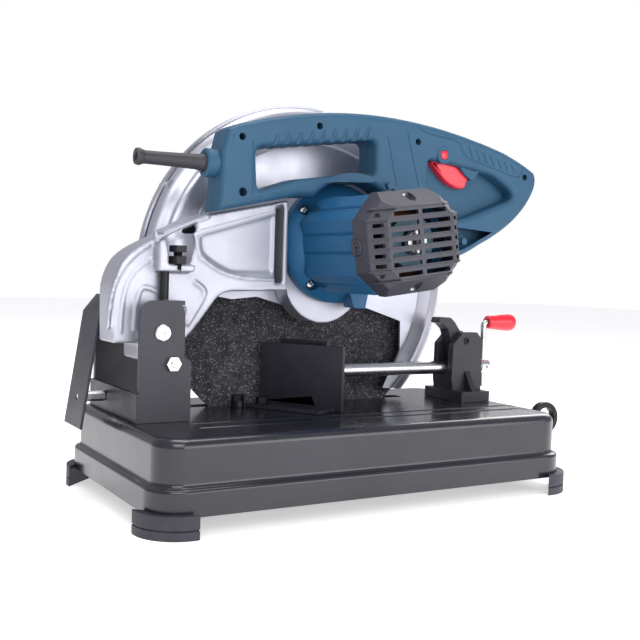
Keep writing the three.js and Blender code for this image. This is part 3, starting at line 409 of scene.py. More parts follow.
def fillet(radius, end, size, way, steps=4):
    """The profile points of a rounded edge at one end of a bar; way is +1 at its low end."""
    points = []
    for i in range(steps + 1):
        a = math.pi / 2 * i / steps
        points.append((radius - size + size * math.sin(a), end + way * size * (1 - math.cos(a))))
    return points


def prism(centre, radius, start, end, axis="Y", sides=6, turn=0.0):
    rings = []
    for along in (start, end):
        ring = []
        for i in range(sides):
            a = 2 * math.pi * i / sides + turn
            ring.append(axial(axis, centre, radius * math.cos(a), radius * math.sin(a), along))
        rings.append(ring)
    return loft(rings)


def block(x0, x1, y0, y1, z0, z1):
    low = [(x0, y0, z0), (x1, y0, z0), (x1, y1, z0), (x0, y1, z0)]
    high = [(x, y, z1) for x, y, _ in low]
    return loft([low, high])


def rounded(points, radius=0.0, steps=5):
    """An outline's points with its corners rounded; a third value on a point is its own radius."""
    result = []
    count = len(points)
    for i, point in enumerate(points):
        here = Vector(point[:2])
        size = point[2] if len(point) > 2 else radius
        back = Vector(points[i - 1][:2]) - here
        ahead = Vector(points[(i + 1) % count][:2]) - here
        size = min(size, back.length * 0.49, ahead.length * 0.49)
        if size <= 0:
            result.append(tuple(here))
            continue
        start = here + back.normalized() * size
        end = here + ahead.normalized() * size
        for k in range(steps + 1):
            t = k / steps
            result.append(tuple((1 - t) ** 2 * start + 2 * t * (1 - t) * here + t * t * end))
    return result


def slab(outline, y0, y1, holes=(), edge=0.0, steps=4):
    """A plate whose outline is drawn in x, z, from y0 to y1, with rounded edges and any holes."""
    curve = bpy.data.curves.new("slab", "CURVE")
    curve.dimensions = "2D"
    curve.fill_mode = "BOTH"
    for points in (outline, *holes):
        spline = curve.splines.new("POLY")
        spline.points.add(len(points) - 1)
        for target, (x, z) in zip(spline.points, points):
            target.co = (x, z, 0, 1)
        spline.use_cyclic_u = True
    curve.extrude = (y1 - y0) / 2 - edge
    curve.bevel_depth = edge
    curve.bevel_resolution = steps
    curve.offset = -edge
    obj = link_new("slab", curve)
    mesh = mesh_of(obj)
    bpy.data.objects.remove(obj)
    mesh.transform(Matrix(((1, 0, 0, 0), (0, 0, -1, (y0 + y1) / 2), (0, 1, 0, 0), (0, 0, 0, 1))))
    return merged(link_new("slab", mesh), 0.01)


def tube(points, radius, sides=10, smooth=True, name="tube"):
    """A round bar along points, closed at both ends."""
    curve = bpy.data.curves.new(name, "CURVE")
    curve.dimensions = "3D"
    spline = curve.splines.new("NURBS" if smooth else "POLY")
    spline.points.add(len(points) - 1)
    for target, point in zip(spline.points, points):
        target.co = (*point, 1)
    if smooth:
        spline.order_u = 4
        spline.use_endpoint_u = True
        spline.resolution_u = 5
    curve.bevel_depth = radius
    curve.bevel_resolution = max(1, sides // 2 - 1)
    curve.use_fill_caps = True
    obj = link_new(name, curve)
    mesh = mesh_of(obj)
    bpy.data.objects.remove(obj)
    return merged(link_new(name, mesh), 0.001)


def layer(obj, low, high):
    """What lies between two planes square to Y."""
    return boolean(obj, block(-400, 400, low, high, -50, 500), "INTERSECT")


def copy_of(obj):
    return link_new(obj.name, obj.data.copy())


def cad_copy(node):
    """The CAD node's own solid, brought into the saw's layout for reworking."""
    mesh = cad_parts[node].data.copy()
    mesh.materials.clear()
    mesh.transform(Matrix.Scale(1 / MM, 4) @ Matrix.Translation((-BASE_X, -BASE_Y, 0)))
    obj = merged(link_new(node, mesh), 0.01)
    bm = bmesh.new()
    bm.from_mesh(obj.data)
    bmesh.ops.dissolve_limit(bm, angle_limit=math.radians(0.8), verts=bm.verts, edges=bm.edges)
    bm.to_mesh(obj.data)
    bm.free()
    return obj


def remeshed(obj, voxel, smoothing=6):
    """One smooth skin with soft inner corners over everything in obj, as a casting has."""
    tool = obj.modifiers.new("remesh", "REMESH")
    tool.mode = "VOXEL"
    tool.voxel_size = voxel
    apply_modifiers(obj)
    tool = obj.modifiers.new("smooth", "SMOOTH")
    tool.factor = 0.5
    tool.iterations = smoothing
    return apply_modifiers(obj)


def rolled(obj):
    """Turns a piece drawn round the origin into the motor's own roll and place."""
    obj.data.transform(Matrix.Translation((MOTOR[0], 0, MOTOR[1])) @ Matrix.Rotation(-ROLL, 4, "Y"))
    return obj


def place(obj, name, material, body, slot, stands_for=(), sharp=38):
    """Names a finished piece, moves it into the frame and says what it rides with and replaces."""
    obj.name = name
    obj.data.name = name
    obj.data.transform(Matrix.Translation((BASE_X, BASE_Y, 0)) @ Matrix.Scale(MM, 4))
    obj.data.materials.clear()
    obj.data.materials.append(material)
    for polygon in obj.data.polygons:
        polygon.use_smooth = True
    obj.data.set_sharp_from_angle(angle=math.radians(sharp))
    tool = obj.modifiers.new("normals", "WEIGHTED_NORMAL")
    tool.keep_sharp = True
    apply_modifiers(obj)
    obj.data.name = name
    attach(obj, body)
    names = [stands_for] if isinstance(stands_for, str) else list(stands_for)
    if names:
        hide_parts(*names)
    return obj


# ---- base ------------------------------------------------------------------------------------
def rounded_rectangle(inset, z, steps=10):
    radius = max(BASE["corner"] - inset, 2)
    cx = BASE["length"] / 2 - inset - radius
    cy = BASE["width"] / 2 - inset - radius
    ring = []
    for quarter, (sx, sy) in enumerate(((1, 1), (-1, 1), (-1, -1), (1, -1))):
        for i in range(steps + 1):
            a = math.pi / 2 * (quarter + i / steps)
            ring.append((sx * cx + radius * math.cos(a), sy * cy + radius * math.sin(a), z))
    return ring


def base_pan():
    """The pressed pan: a skirt, a rolled step, upright walls and a table with two long grooves."""
    outer = [(1.6, 17), (0.4, 17.1), (0, 18), (0, 37.5), (0.4, 39.3), (1.5, 40.6), (3.6, 41.4), (5, 42.4),
             (5.8, 44), (6, 46), (6, 74.5), (6.5, 77.6), (8, 80.3), (10.4, 82.2), (13.4, 83), (18, 83)]
    inner = [(18, 80.5), (13.6, 80.4), (10.4, 79.2), (8.9, 77), (8.5, 74.5), (8.5, 45), (7, 41.6), (4, 39.4),
             (2.8, 38), (2.5, 36), (2.5, 18.4), (2.2, 17.3)]
    bm = bmesh.new()
    rows = [[bm.verts.new(p) for p in rounded_rectangle(inset, z)] for inset, z in outer + inner]
    count = len(rows[0])
    top = len(outer) - 1
    for k in range(len(rows)):
        if k == top:
            continue
        a, b = rows[k], rows[(k + 1) % len(rows)]
        for i in range(count):
            j = (i + 1) % count
            bm.faces.new((a[i], a[j], b[j], b[i]))
    bm.faces.new(rows[top])
    bm.faces.new(list(reversed(rows[top + 1])))
    bmesh.ops.recalc_face_normals(bm, faces=bm.faces)
    pan = from_bmesh("base_pan", bm)
    tools = []
    for y, start, end in ((-52, -172, 208), (-76, -172, 204)):
        tools.append(tube([(start, y, 86.2), (end, y, 86.2)], 4.9, 16, smooth=False))
    tools.append(tube([(208, -50, 86.2), (219, -60, 86.2)], 4.2, 12, smooth=False))
    tools.append(tube([(204, -74, 86.2), (216, -84, 86.2)], 4.2, 12, smooth=False))
    slot = [(-138, 49), (142, 49), (142, 68), (-138, 68)]
    ring = rounded(slot, 6)
    tools.append(loft([[(x, y, 70) for x, y in ring], [(x, y, 90) for x, y in ring]]))
    tools.append(block(215, 240, WRENCH["y"] - 3.4, WRENCH["y"] + 3.4, WRENCH["z"] - 8, WRENCH["z"] + 8))
    boolean(pan, tools)
    place(pan, "pressed_base", ENAMEL, "base", "black_paint", "base_pan", sharp=30)


def feet():
    """Rubber feet with a groove round their rims and soft edges."""
    for end, sx in (("rear", -1), ("front", 1)):
        for side, sy in (("near", -1), ("far", 1)):
            node = f"foot_{end}_{side}"
            foot = cad_copy(node)
            cx = sx * (BASE["length"] / 2 - BASE["corner"])
            cy = sy * (BASE["width"] / 2 - BASE["corner"])
            groove = [(38.9, 8.2), (39.6, 7.6), (43, 7.2), (43, 9.8), (39.6, 9.3)]
            boolean(foot, lathe(groove, (cx, cy), "Z", 64))
            bevelled(foot, 2.2, 4, 40)
            place(foot, f"rubber_{node}", RUBBER, "base", "rubber_black", node)


def rear_bracket():
    bracket = cad_copy("pivot_bracket")
    bevelled(bracket, 1.1, 3)
    place(bracket, "hinge_bracket", PLATE, "base", "black_paint", "pivot_bracket")
    near = -36.5
    shaft = lathe([(0, near + 1.2), (1.2, near + 1.2), (1.6, near), (6.9, near), (8, near + 1), (8, 106.5),
                   (10.5, 106.6), (10.5, 109.2), (9.8, 110), (0, 110)], PIVOT, sides=64)
    place(shaft, "hinge_shaft", TURNED, "base", "bright_steel", "pivot_shaft")
    hex_bolt("spring_bolt", (-184, 138), -15, -41, 3.2, 7.6, (-34.3, -39.3), "spring_anchor_bolt",
             extra=((-27.6, -25.3),))
    deflector = cad_copy("spark_deflector")
    bevelled(deflector, 0.6, 2)
    place(deflector, "spark_plate", PLATE, "base", "black_paint", "spark_deflector")
    stud = cad_copy("deflector_bolt")
    bevelled(stud, 0.5, 2)
    place(stud, "spark_plate_bolt", ZINC, "base", "bright_steel", "deflector_bolt")
    coil = []
    for i in range(91):
        t = i / 90
        a = 2 * math.pi * 2.25 * t
        coil.append((PIVOT[0] + 14.2 * math.cos(a), -25.2 + 9.2 * t, PIVOT[1] + 14.2 * math.sin(a)))
    lead = [(-175.3, -25.3, 139), (-175.8, -25.3, 147), (-177.6, -25.3, 156)]
    place(tube(lead + coil[2:], 1.85, 12), "lift_spring", ZINC, "base", "bright_steel", "return_spring")


def hex_bolt(name, centre, start, end, radius, size, head, node, extra=()):
    """A bolt along Y with a chamfered hexagon, any further hexagons, and thread at its free end."""
    shank = threaded_rod(centre, radius, min(start, end), max(start, end))
    parts = [shank]
    for y0, y1 in (head, *extra):
        nut = prism(centre, size, min(y0, y1), max(y0, y1))
        parts.append(bevelled(nut, 0.5, 2))
    bolt = joined(parts)
    place(bolt, name, ZINC, "base", "bright_steel", node)


def threaded_rod(centre, radius, start, end, axis="Y", pitch=1.5, depth=0.42, sides=28):
    """A rod whose surface has rings at the thread's pitch."""
    profile = [(0, start), (radius - depth, start)]
    along = start + pitch * 0.3
    while along + pitch * 0.7 < end:
        profile += [(radius - depth, along), (radius, along + pitch * 0.35), (radius, along + pitch * 0.5)]
        along += pitch
    profile += [(radius - depth, end), (0, end)]
    return lathe(profile, centre, axis, sides)


# ---- fence and vise ----------------------------------------------------------------------------
def fence():
    plate = cad_copy("fence")
    bevelled(plate, 0.9, 3)
    place(plate, "work_fence", PLATE, "base", "black_paint", "fence")
    for node in ("fence_bolt", "table_bolt"):
        screw = cad_copy(node)
        bevelled(screw, 0.7, 2)
        place(screw, f"hex_{node}", BLACK_STEEL, "base", "bright_steel", node)


def vise():
    """The vise casting, its lever and pin, the screw with its crank and grip, and the hidden jaw."""
    body = cad_copy("vise_body")
    bevelled(body, 1.3, 3)
    place(body, "vise_casting", CAST_BLACK, "base", "cast_black", "vise_body")
    lever = cad_copy("half_nut_lever")
    bevelled(lever, 1.4, 3)
    place(lever, "release_lever", CAST_BLACK, "half_nut_lever", "cast_black", "half_nut_lever")
    y, z = VISE["y"], VISE["z"]
    out = 18.6
    pin = lathe([(0, y - out + 1.6), (2, y - out + 1.6), (2.2, y - out), (3.7, y - out), (4, y - out + 0.4),
                 (4, y + out - 0.4), (3.7, y + out), (0, y + out)], VISE["pin"], sides=40)
    place(pin, "lever_roll_pin", BLACK_STEEL, "base", "bright_steel", "lever_pin")
    screw = lathe([(0, 6), (4.2, 6), (4.5, 6.5), (4.5, 19), (6.8, 19), (7.6, 20), (7.6, 225.7),
                   (6.9, 226.7), (0, 226.7)], (y, z), "X", 48)
    place(screw, "clamp_screw", ZINC, "vise_screw", "bright_steel", "vise_screw")
    hub = lathe([(0, 227), (8.2, 227), (9, 227.8), (9, 240), (8.2, 241), (0, 241)], (y, z), "X", 48)
    boolean(hub, rod((CRANK["x"], y), 3.4, z - 20, z + 20, "Z", 24))
    boolean(hub, rod((CRANK["x"], z), 1.6, y - 12, y - 4, "Y", 16))
    place(hub, "crank_boss", ZINC, "vise_screw", "bright_steel", "crank_hub")
    top = z + CRANK["up"]
    x = CRANK["x"]
    crank = tube([(x, y, z - 24), (x, y, z), (x, y, top - 14), (x, y, top - 7), (x + 0.5, y, top - 1),
                  (x + 7, y, top), (x + 14, y, top), (CRANK["grip"] + 31.6, y, top)], CRANK["rod"], 18)
    place(crank, "crank_bar", ZINC, "vise_screw", "bright_steel", "crank_rod")
    g = CRANK["grip"]
    profile = [(3.9, 36.6), (3.9, 0.6), (4.4, 0), (7.0, 0), (7.7, 0.8), (8.3, 4), (8.7, 9), (9.3, 14),
               (10.2, 23), (10.7, 30), (10.8, 33.6), (10.5, 36), (9.6, 38.2), (8, 39.4), (5, 39.6),
               (2.4, 39.6), (2.4, 36.6)]
    grip = lathe([(radius, g + along) for radius, along in profile], (y, top), "X", 64)
    place(grip, "crank_knob", RED, "crank_grip", "red_plastic", "crank_grip")
    for node, material, body_name, slot in (
        ("swivel_block", ZINC, "vise_carriage", "bright_steel"),
        ("jaw_pin", TURNED, "vise_carriage", "bright_steel"),
        ("jaw_plate", PLATE, "jaw_plate", "black_paint"),
        ("vise_bolt_near", ZINC, "base", "bright_steel"),
        ("vise_bolt_far", ZINC, "base", "bright_steel"),
    ):
        part = cad_copy(node)
        bevelled(part, 0.8, 3)
        place(part, f"{node}_finished", material, body_name, slot, node)


def wrench():
    spanner = cad_copy("wheel_wrench")
    bevelled(spanner, 1.0, 3)
    place(spanner, "stored_wrench", BLACK_STEEL, "wheel_wrench", "black_steel", "wheel_wrench")


# ---- arm, guard and wheel ----------------------------------------------------------------------
FRONT_EDGE = [(129, 139), (108, 96), (150, 91), (260, 91), (260, 500), (-260, 500)]
NEAR_KEEP = [(-260, 198), (-184, 198), (-170, 176), (-146, 179), (-138, 205), (-90, 197), (-60, 200),
             (-31, 192), (-6, 178), (20, 174), (39, 186), (67, 193), (128, 174)] + FRONT_EDGE
FAR_KEEP = [(-260, 205), (-176, 205), (-150, 165), (118, 165)] + FRONT_EDGE


def bead(points, y, radius):
    return tube([(x, y, z) for x, z in points], radius, 12)


def arm():
    """The arm casting up to the guard: the solid's own shape with a sunk panel, rims, webs and a
    round pocket behind the depth stop, under one smooth skin."""
    face = -13
    core = layer(cad_copy("arm_casting"), -60, 39.9)
    panel = [(-151, 259), (-69, 284), (-69, 225), (-117, 225), (-136, 234), (-148, 243)]
    strip = [(-67, 292), (-58, 296), (-58, 216), (-67, 216)]
    pocket = lathe([(0, 231), (14, 231), (19.5, 256), (20.5, 272), (0, 272)], (-173, -17), "Z", 64)
    wall = layer(rod((-173, -17), 24, 226, 262, "Z", 64), face, 12)
    boolean(core, slab(rounded(panel, 5), face - 2, face + 2.2))
    boolean(core, slab(strip, face - 8, face + 7))
    boolean(wall, copy_of(pocket))
    boolean(core, pocket)
    lines = (
        (2.2, (-141, 279), (-166, 270), (-190, 257), (-200, 250)),
        (2.2, (-200, 250), (-215, 241), (-232, 222), (-239, 200), (-240, 169)),
        (1.7, (-193, 238), (-212, 229), (-222, 216), (-227, 198), (-228, 166)),
        (2.0, (-187, 203), (-200, 208), (-210, 213), (-213, 196), (-214, 168)),
        (2.4, (-155, 215), (-146, 209), (-141, 206), (-151, 190), (-162, 173)),
        (2.2, (-150, 240), (-138, 230), (-119, 221), (-95, 219), (-68, 219)),
        (1.8, (-196, 250), (-190, 238), (-184, 229)),
        (1.8, (-156, 262), (-152, 248), (-149, 236)),
        (1.6, (-154, 262), (-120, 272), (-90, 281), (-69, 287)),
    )
    parts = [core, wall] + [bead(points, face + 0.6, radius) for radius, *points in lines]
    skin = remeshed(joined(parts), 1.45, 4)
    place(skin, "arm_casting_skin", CASTING, "head", "cast_aluminium", "arm_casting", sharp=70)


def kept(obj, outline, y0, y1):
    return boolean(obj, slab(outline, y0, y1), "INTERSECT")


def guard():
    """Both halves of the wheel guard, turned round the spindle and cut to their open edges."""
    near = [(0, 40), (146, 40), (149, 40.6), (152, 42.2), (166, 43), (170, 43.6), (172.6, 46), (175, 48.2),
            (180, 49.4), (184, 51.4), (187.4, 54.6), (188.6, 57), (188.6, 58.4), (186.2, 58.6),
            (186.2, 60.7), (183.6, 60.7), (183.4, 57.4), (181.4, 54), (179, 52.4), (174, 51.2),
            (171, 48.8), (168.5, 46.6), (150, 43.6), (146, 43), (0, 43)]
    shell = kept(lathe(near, SPINDLE, sides=160), NEAR_KEEP, 30, 65)
    boolean(shell, rod(SPINDLE, 17.8, 30, 60))
    place(shell, "guard_near_shell", GUARD_SILVER, "head", "cast_aluminium")
    far = [(0, 85), (120, 85), (124, 84.4), (128, 83), (160, 82.6), (176, 82), (184, 79.6),
           (189, 75.6), (191.2, 71), (191.5, 66), (191.5, 61.3), (188.5, 61.3), (188.4, 66),
           (188, 70), (186.4, 73.6), (182.6, 76.8),
           (175.6, 79), (160, 79.6), (128, 80), (124, 81.4), (120, 82), (0, 82)]
    cover = kept(lathe(far, SPINDLE, sides=160), FAR_KEEP, 55, 95)
    hub = lathe([(0, 85.2), (26, 85.2), (27, 84.2), (27, 83), (0, 83)], SPINDLE, sides=64)
    boolean(cover, hub, "UNION")
    place(cover, "guard_far_cover", GUARD_SILVER, "head", "cast_aluminium", "guard_cover")
    screw_circle = 184
    for i, angle in enumerate((18, 84, 150)):
        a = math.radians(angle)
        centre = (SPINDLE[0] + screw_circle * math.cos(a), SPINDLE[1] + screw_circle * math.sin(a))
        post = rod(centre, 5.2, 53, 79.5)
        place(post, f"guard_post_{i + 1}", GUARD_SILVER, "head", "cast_aluminium")
        place(pan_screw(centre, 83.4, 1, 3.9, 1.4), f"guard_screw_{i + 1}", ZINC, "head", "bright_steel")


def pan_screw(centre, y, way, radius, height):
    """A pan-head screw with a cross recess, its head's top facing way along Y."""
    profile = [(0, y - way * 6), (radius * 0.5, y - way * 6), (radius * 0.5, y - way * height)]
    for i in range(6):
        a = math.pi / 2 * i / 5
        profile.append((radius * math.cos(a) if i < 5 else 0, y - way * height * (1 - math.sin(a))))
    head = lathe(profile, centre, sides=28)
    reach = radius * 0.55
    x, z = centre
    low, high = sorted((y - way * height * 0.55, y + way * 2))
    for a, b in ((reach, radius * 0.13), (radius * 0.13, reach)):
        boolean(head, block(x - a, x + a, low, high, z - b, z + b))
    return head


def wheel():
    """The cutting wheel, its two clamping flanges, and the spindle with its gear and bolt."""
    disc = lathe([(12.8, 56), (60, 56), (120, 56), (176.6, 56), (177.5, 56.6), (177.5, 58.4),
                  (176.6, 59), (120, 59), (60, 59), (12.8, 59)], SPINDLE, sides=240)
    place(disc, "abrasive_wheel", GRIT, "wheel", "abrasive", "cutting_wheel")
    inner = lathe([(6.3, 49.8), (30, 49.8), (32, 51), (32, 55.7), (26, 55.7), (25, 55), (12.3, 55),
                   (12.3, 58.6), (6.3, 58.6)], SPINDLE, sides=72)
    place(inner, "inner_clamp_flange", TURNED, "wheel", "bright_steel", "inner_flange")
    outer = lathe([(6.3, 59.9), (24, 59.9), (25, 59.3), (32, 59.3), (32, 63.2), (30.8, 64.5),
                   (14, 64.5), (6.3, 64.5)], SPINDLE, sides=72)
    place(outer, "outer_clamp_flange", TURNED, "wheel", "bright_steel", "outer_flange")
    for node, material, slot in (
        ("spindle", TURNED, "bright_steel"), ("spindle_gear", DARK_STEEL, "dark_steel"),
        ("wheel_bolt", ZINC, "bright_steel"),
    ):
        part = cad_copy(node)
        bevelled(part, 0.35, 2)
        place(part, f"{node}_finished", material, "wheel", slot, node)


def depth_stop():
    centre = (-176, -21.8)
    bolt = joined([threaded_rod(centre, 4.2, 226, 243.5, "Z"), stop_hexagon(centre, 9.0, 242.6, 249)])
    place(bolt, "stop_bolt", BLACK_STEEL, "head", "black_steel", "depth_stop_bolt")
    nut = stop_hexagon(centre, 9.2, 231.4, 238.9)
    boolean(nut, rod(centre, 4.5, 225, 245, "Z", 28))
    place(nut, "stop_nut", BLACK_STEEL, "head", "black_steel", "depth_stop_nut")
    pillar = rod((-188, -19), 4.4, 197.5, 225.3, "Z", 32, round_by=0.5)
    place(pillar, "stop_pillar", BLACK_STEEL, "head", "black_steel", "depth_stop_rod")


def stop_hexagon(centre, size, start, end):
    return bevelled(prism(centre, size, start, end, "Z"), 0.7, 2)


# ---- motor -------------------------------------------------------------------------------------
def eight_sides(w, h, c):
    """A rectangle of half sizes w and h with its corners cut back by c."""
    return [(w - c, -h), (w, c - h), (w, h - c), (w - c, h),
            (c - w, h), (-w, h - c), (-w, c - h), (c - w, -h)]


def grooved(corners, marks, width, depth):
    """The section's points with a V groove across each side at the given shares of its length."""
    points = []
    count = len(corners)
    for i, corner in enumerate(corners):
        a, b = Vector(corner), Vector(corners[(i + 1) % count])
        along = b - a
        normal = Vector((-along.y, along.x)).normalized()
        points.append(tuple(a))
        for share in marks[i % len(marks)]:
            middle = a + along * share
            step = along.normalized() * width / 2
            points += [tuple(middle - step), tuple(middle + normal * depth), tuple(middle + step)]
    return points


def at_y(points, y):
    return [(u, y, v) for u, v in points]


def motor_housing():
    """The barrel with long ridges that stop short of the flange, its conical flange ring, four screw
    pockets, the lug under it and the frame that shows through the cap's slots."""
    w, h, c = HOUSING["half_width"], HOUSING["half_height"], HOUSING["chamfer"]
    marks = [(0.5,), (0.26, 0.6), (0.5,), (0.3, 0.7)]
    front = HOUSING["front"]
    sections = [(2, 0.965, 0), (-13.5, 0.965, 0), (-17, 1, 1.7), (front + 1.5, 1, 1.7), (front, 0.985, 1.5)]
    rings = []
    for y, scale, depth in sections:
        section = grooved(eight_sides(w * scale, h * scale, c * scale), marks, 4.2, depth)
        rings.append(at_y(section, y))
    barrel = rolled(loft(rings))
    ring = lathe([(0, -12), (50, -12), (53.4, -9.4), (58, -4.2), (61.6, -0.8), (63.5, 2.4),
                  (63.5, 12.7), (0, 12.7)], MOTOR, sides=128)
    boolean(barrel, ring, "UNION")
    lug = slab(rounded([(20, 212), (46, 210), (42, 190), (27, 191)], 2), -16, 4, edge=0.8)
    boolean(barrel, lug, "UNION")
    boolean(barrel, rod(MOTOR, 43.4, front - 5, -1, sides=72))
    boolean(barrel, rod(MOTOR, 12, -2, 20, sides=32))
    screw_circle = 55
    for k in range(4):
        a = math.pi / 4 + ROLL + math.pi / 2 * k
        centre = (MOTOR[0] + screw_circle * math.cos(a), MOTOR[1] + screw_circle * math.sin(a))
        pocket = lathe([(0, -34), (2.4, -33), (6.6, -13), (6.6, 1.4), (0, 1.4)], centre, sides=32)
        boolean(barrel, pocket)
        place(pan_screw(centre, -2.6, -1, 5.0, 3.0), f"flange_screw_{k + 1}", ZINC, "head", "bright_steel")
    place(barrel, "motor_barrel", TEAL, "head", "teal_plastic", "motor_housing", sharp=24)
    frame_ring = lathe([(12.5, -133), (25, -133), (25, -124), (12.5, -124)], (0, 0), sides=64)
    place(rolled(frame_ring), "brush_frame", PALE_TEAL, "head", "teal_plastic")


def cap_form(front, grow):
    """The cap's outer form: a flat face, side facets back to the belly and top facets to the shoulder."""
    w, h, c = CAP["half_width"], CAP["half_height"], CAP["chamfer"]
    back = HOUSING["front"] - 0.3
    return loft([
        at_y(eight_sides(w - 15 + grow, h - 16 + grow, c - 13), front),
        at_y(eight_sides(w + grow, h - 8 + grow, c - 5), CAP["belly"]),
        at_y(eight_sides(w + grow, h + grow, c), CAP["belly"] + 13),
        at_y(eight_sides(w + grow, h + grow, c), back),
    ])


def vent_cap():
    """The louvred cap: slots in rows across its face and side facets, a ridge between rows, ledges
    above and below them, and two screws in pockets on the sloping facets."""
    front = CAP["front"] + 1.1
    back = HOUSING["front"] - 0.3
    rows, pitch = 7, 9.4
    shell = bevelled(cap_form(front, -0.4), 1.0, 3, 12)
    posts = boolean(joined([rod((0, side * CAP["screw"]), 7, front, back, sides=32) for side in (-1, 1)]),
                    copy_of(shell), "INTERSECT")
    boolean(shell, cap_form(front + 3.4, -3.6))
    boolean(shell, posts, "UNION")
    levels = [(k - (rows - 2) / 2) * pitch for k in range(rows - 1)]
    bars = [block(-60, 60, -160, CAP["belly"] + 5, z - 0.8, z + 0.8) for z in levels]
    bars += [block(-60, 60, -160, CAP["belly"] + 9, z - 1.1, z + 1.1) for z in (-34.4, 34.4)]
    ridges = boolean(cap_form(CAP["front"], 0.4), joined(bars), "INTERSECT")
    boolean(ridges, cap_form(front + 2, -2.4))
    boolean(shell, ridges, "UNION")
    slots = []
    for row in range(rows):
        z = (row - (rows - 1) / 2) * pitch
        reach = 30 if abs(row - 3) == 3 else 34.5
        for x0, x1 in ((-reach, -2.2), (2.2, reach)):
            slots.append(block(x0, x1, front - 5, front + 6, z - 2.1, z + 2.1))
        for side in (-1, 1):
            low, high = sorted((side * 40.5, side * 48.5))
            slots.append(block(low, high, front + 1, CAP["belly"] - 0.5, z - 1.9, z + 1.9))
    boolean(shell, joined(slots))
    for side in (-1, 1):
        centre = (0, side * CAP["screw"])
        pocket = lathe([(0, front - 9), (5.6, front - 9), (5.2, -127.5), (0, -127.5)], centre, sides=32)
        boolean(shell, pocket)
        level = "top" if side > 0 else "bottom"
        place(rolled(pan_screw(centre, -128.4, -1, 3.9, 2.4)), f"cap_screw_{level}", ZINC, "head",
              "bright_steel")
        name = "front" if side > 0 else "rear"
        tip = CAP["half_width"] + 1.5
        low, high = sorted((side * 47, side * (tip - 1.2)))
        boolean(shell, rod((-120, 0), 12.2, low, high, "X", 48, round_by=1.0), "UNION")
        low, high = sorted((side * 40, side * 70))
        boolean(shell, rod((-120, 0), 8.3, low, high, "X", 40))
        profile = [(0, 44), (7.9, 44), (7.9, tip - 1), (7.2, tip), (5.4, tip), (5.0, tip - 0.8),
                   (3.4, tip - 0.8), (3.0, tip - 0.2), (0, tip - 0.2)]
        cap = lathe([(r, side * x) for r, x in profile], (-120, 0), "X", 48)
        low, high = sorted((side * (tip - 1.8), side * (tip + 1)))
        boolean(cap, block(low, high, -123, -117, -0.7, 0.7))
        place(rolled(cap), f"brush_plug_{name}", CAP_BLACK, "head", "black_plastic", f"brush_cap_{name}")
    place(rolled(shell), "louvred_cap", CAP_BLACK, "head", "black_plastic", "vent_cap", sharp=30)


def motor_inside():
    stack = lathe([(27, -94), (43, -94), (43, -28), (27, -28)], MOTOR, sides=64)
    place(stack, "field_windings", COPPER, "head", "dark_steel", "stator")
    for node, material, body, slot in (
        ("armature", DARK_STEEL, "rotor", "dark_steel"),
        ("cooling_fan", CAP_BLACK, "rotor", "black_plastic"),
        ("carbon_brush_rear", DARK, "head", "abrasive"),
        ("carbon_brush_front", DARK, "head", "abrasive"),
        ("armature_front_bearing", TURNED, "head", "bright_steel"),
        ("armature_rear_bearing", TURNED, "head", "bright_steel"),
        ("spindle_front_bearing", TURNED, "head", "bright_steel"),
        ("spindle_rear_bearing", TURNED, "head", "bright_steel"),
        ("pivot_sleeve", TURNED, "head", "bright_steel"),
        ("switch_module", CAP_BLACK, "head", "black_plastic"),
    ):
        part = cad_copy(node)
        bevelled(part, 0.4, 2)
        place(part, f"{node}_finished", material, body, slot, node)


# ---- handle --------------------------------------------------------------------------------------
def quadratic(a, b, c, steps=8):
    a, b, c = Vector(a), Vector(b), Vector(c)
    return [tuple((1 - t) ** 2 * a + 2 * t * (1 - t) * b + t * t * c) for t in
            ((i + 1) / steps for i in range(steps))]


def cubic(a, b, c, d, steps=18):
    a, b, c, d = map(Vector, (a, b, c, d))
    points = []
    for i in range(steps):
        t = (i + 1) / steps
        first = (1 - t) ** 3 * a + 3 * t * (1 - t) ** 2 * b
        points.append(tuple(first + 3 * t * t * (1 - t) * c + t ** 3 * d))
    return points


def handle_outline():
    """The handle's outer edge, drawn in x, z: the bar's top, the D-grip's bow, then round the motor."""
    points = [(-140, 283), (-137, 316), (-137, 342), (-135, 346), (-131, 362)]
    points += quadratic(points[-1], (-127, 366), (-118, 369))
    points += cubic(points[-1], (-62, 386), (-10, 394), (44, 394))
    points += cubic(points[-1], (105, 394), (165, 384), (216, 371))
    points += quadratic(points[-1], (246, 361), (262, 352))
    points += quadratic(points[-1], (268, 345), (263, 331))
    points += quadratic(points[-1], (245, 292), (184, 264), 12)
    points += quadratic(points[-1], (150, 243), (95, 236), 10)
    start, end, steps, clear = -14, 137, 40, 66
    for i in range(steps + 1):
        a = math.radians(start + (end - start) * i / steps)
        points.append((MOTOR[0] + clear * math.cos(a), MOTOR[1] + clear * math.sin(a)))
    points.append((-55, 303))
    return points


def carry_hole():
    """The hole behind the carrying bar, drawn in x, z."""
    return rounded([(-101, 347, 8), (39, 368, 10), (39, 330, 8), (-10, 327), (-55, 320),
                    (-98, 305, 8)])


def seam_path():
    """Where the soft grip meets the hard shell, drawn in x, z."""
    path = [(86, 394), (92, 386), (101, 381.5), (118, 379.5), (140, 378), (149, 374)]
    path += [(153, 366), (158, 360.5), (180, 355), (228, 344.5), (236, 344), (241, 350), (243, 360)]
    return path


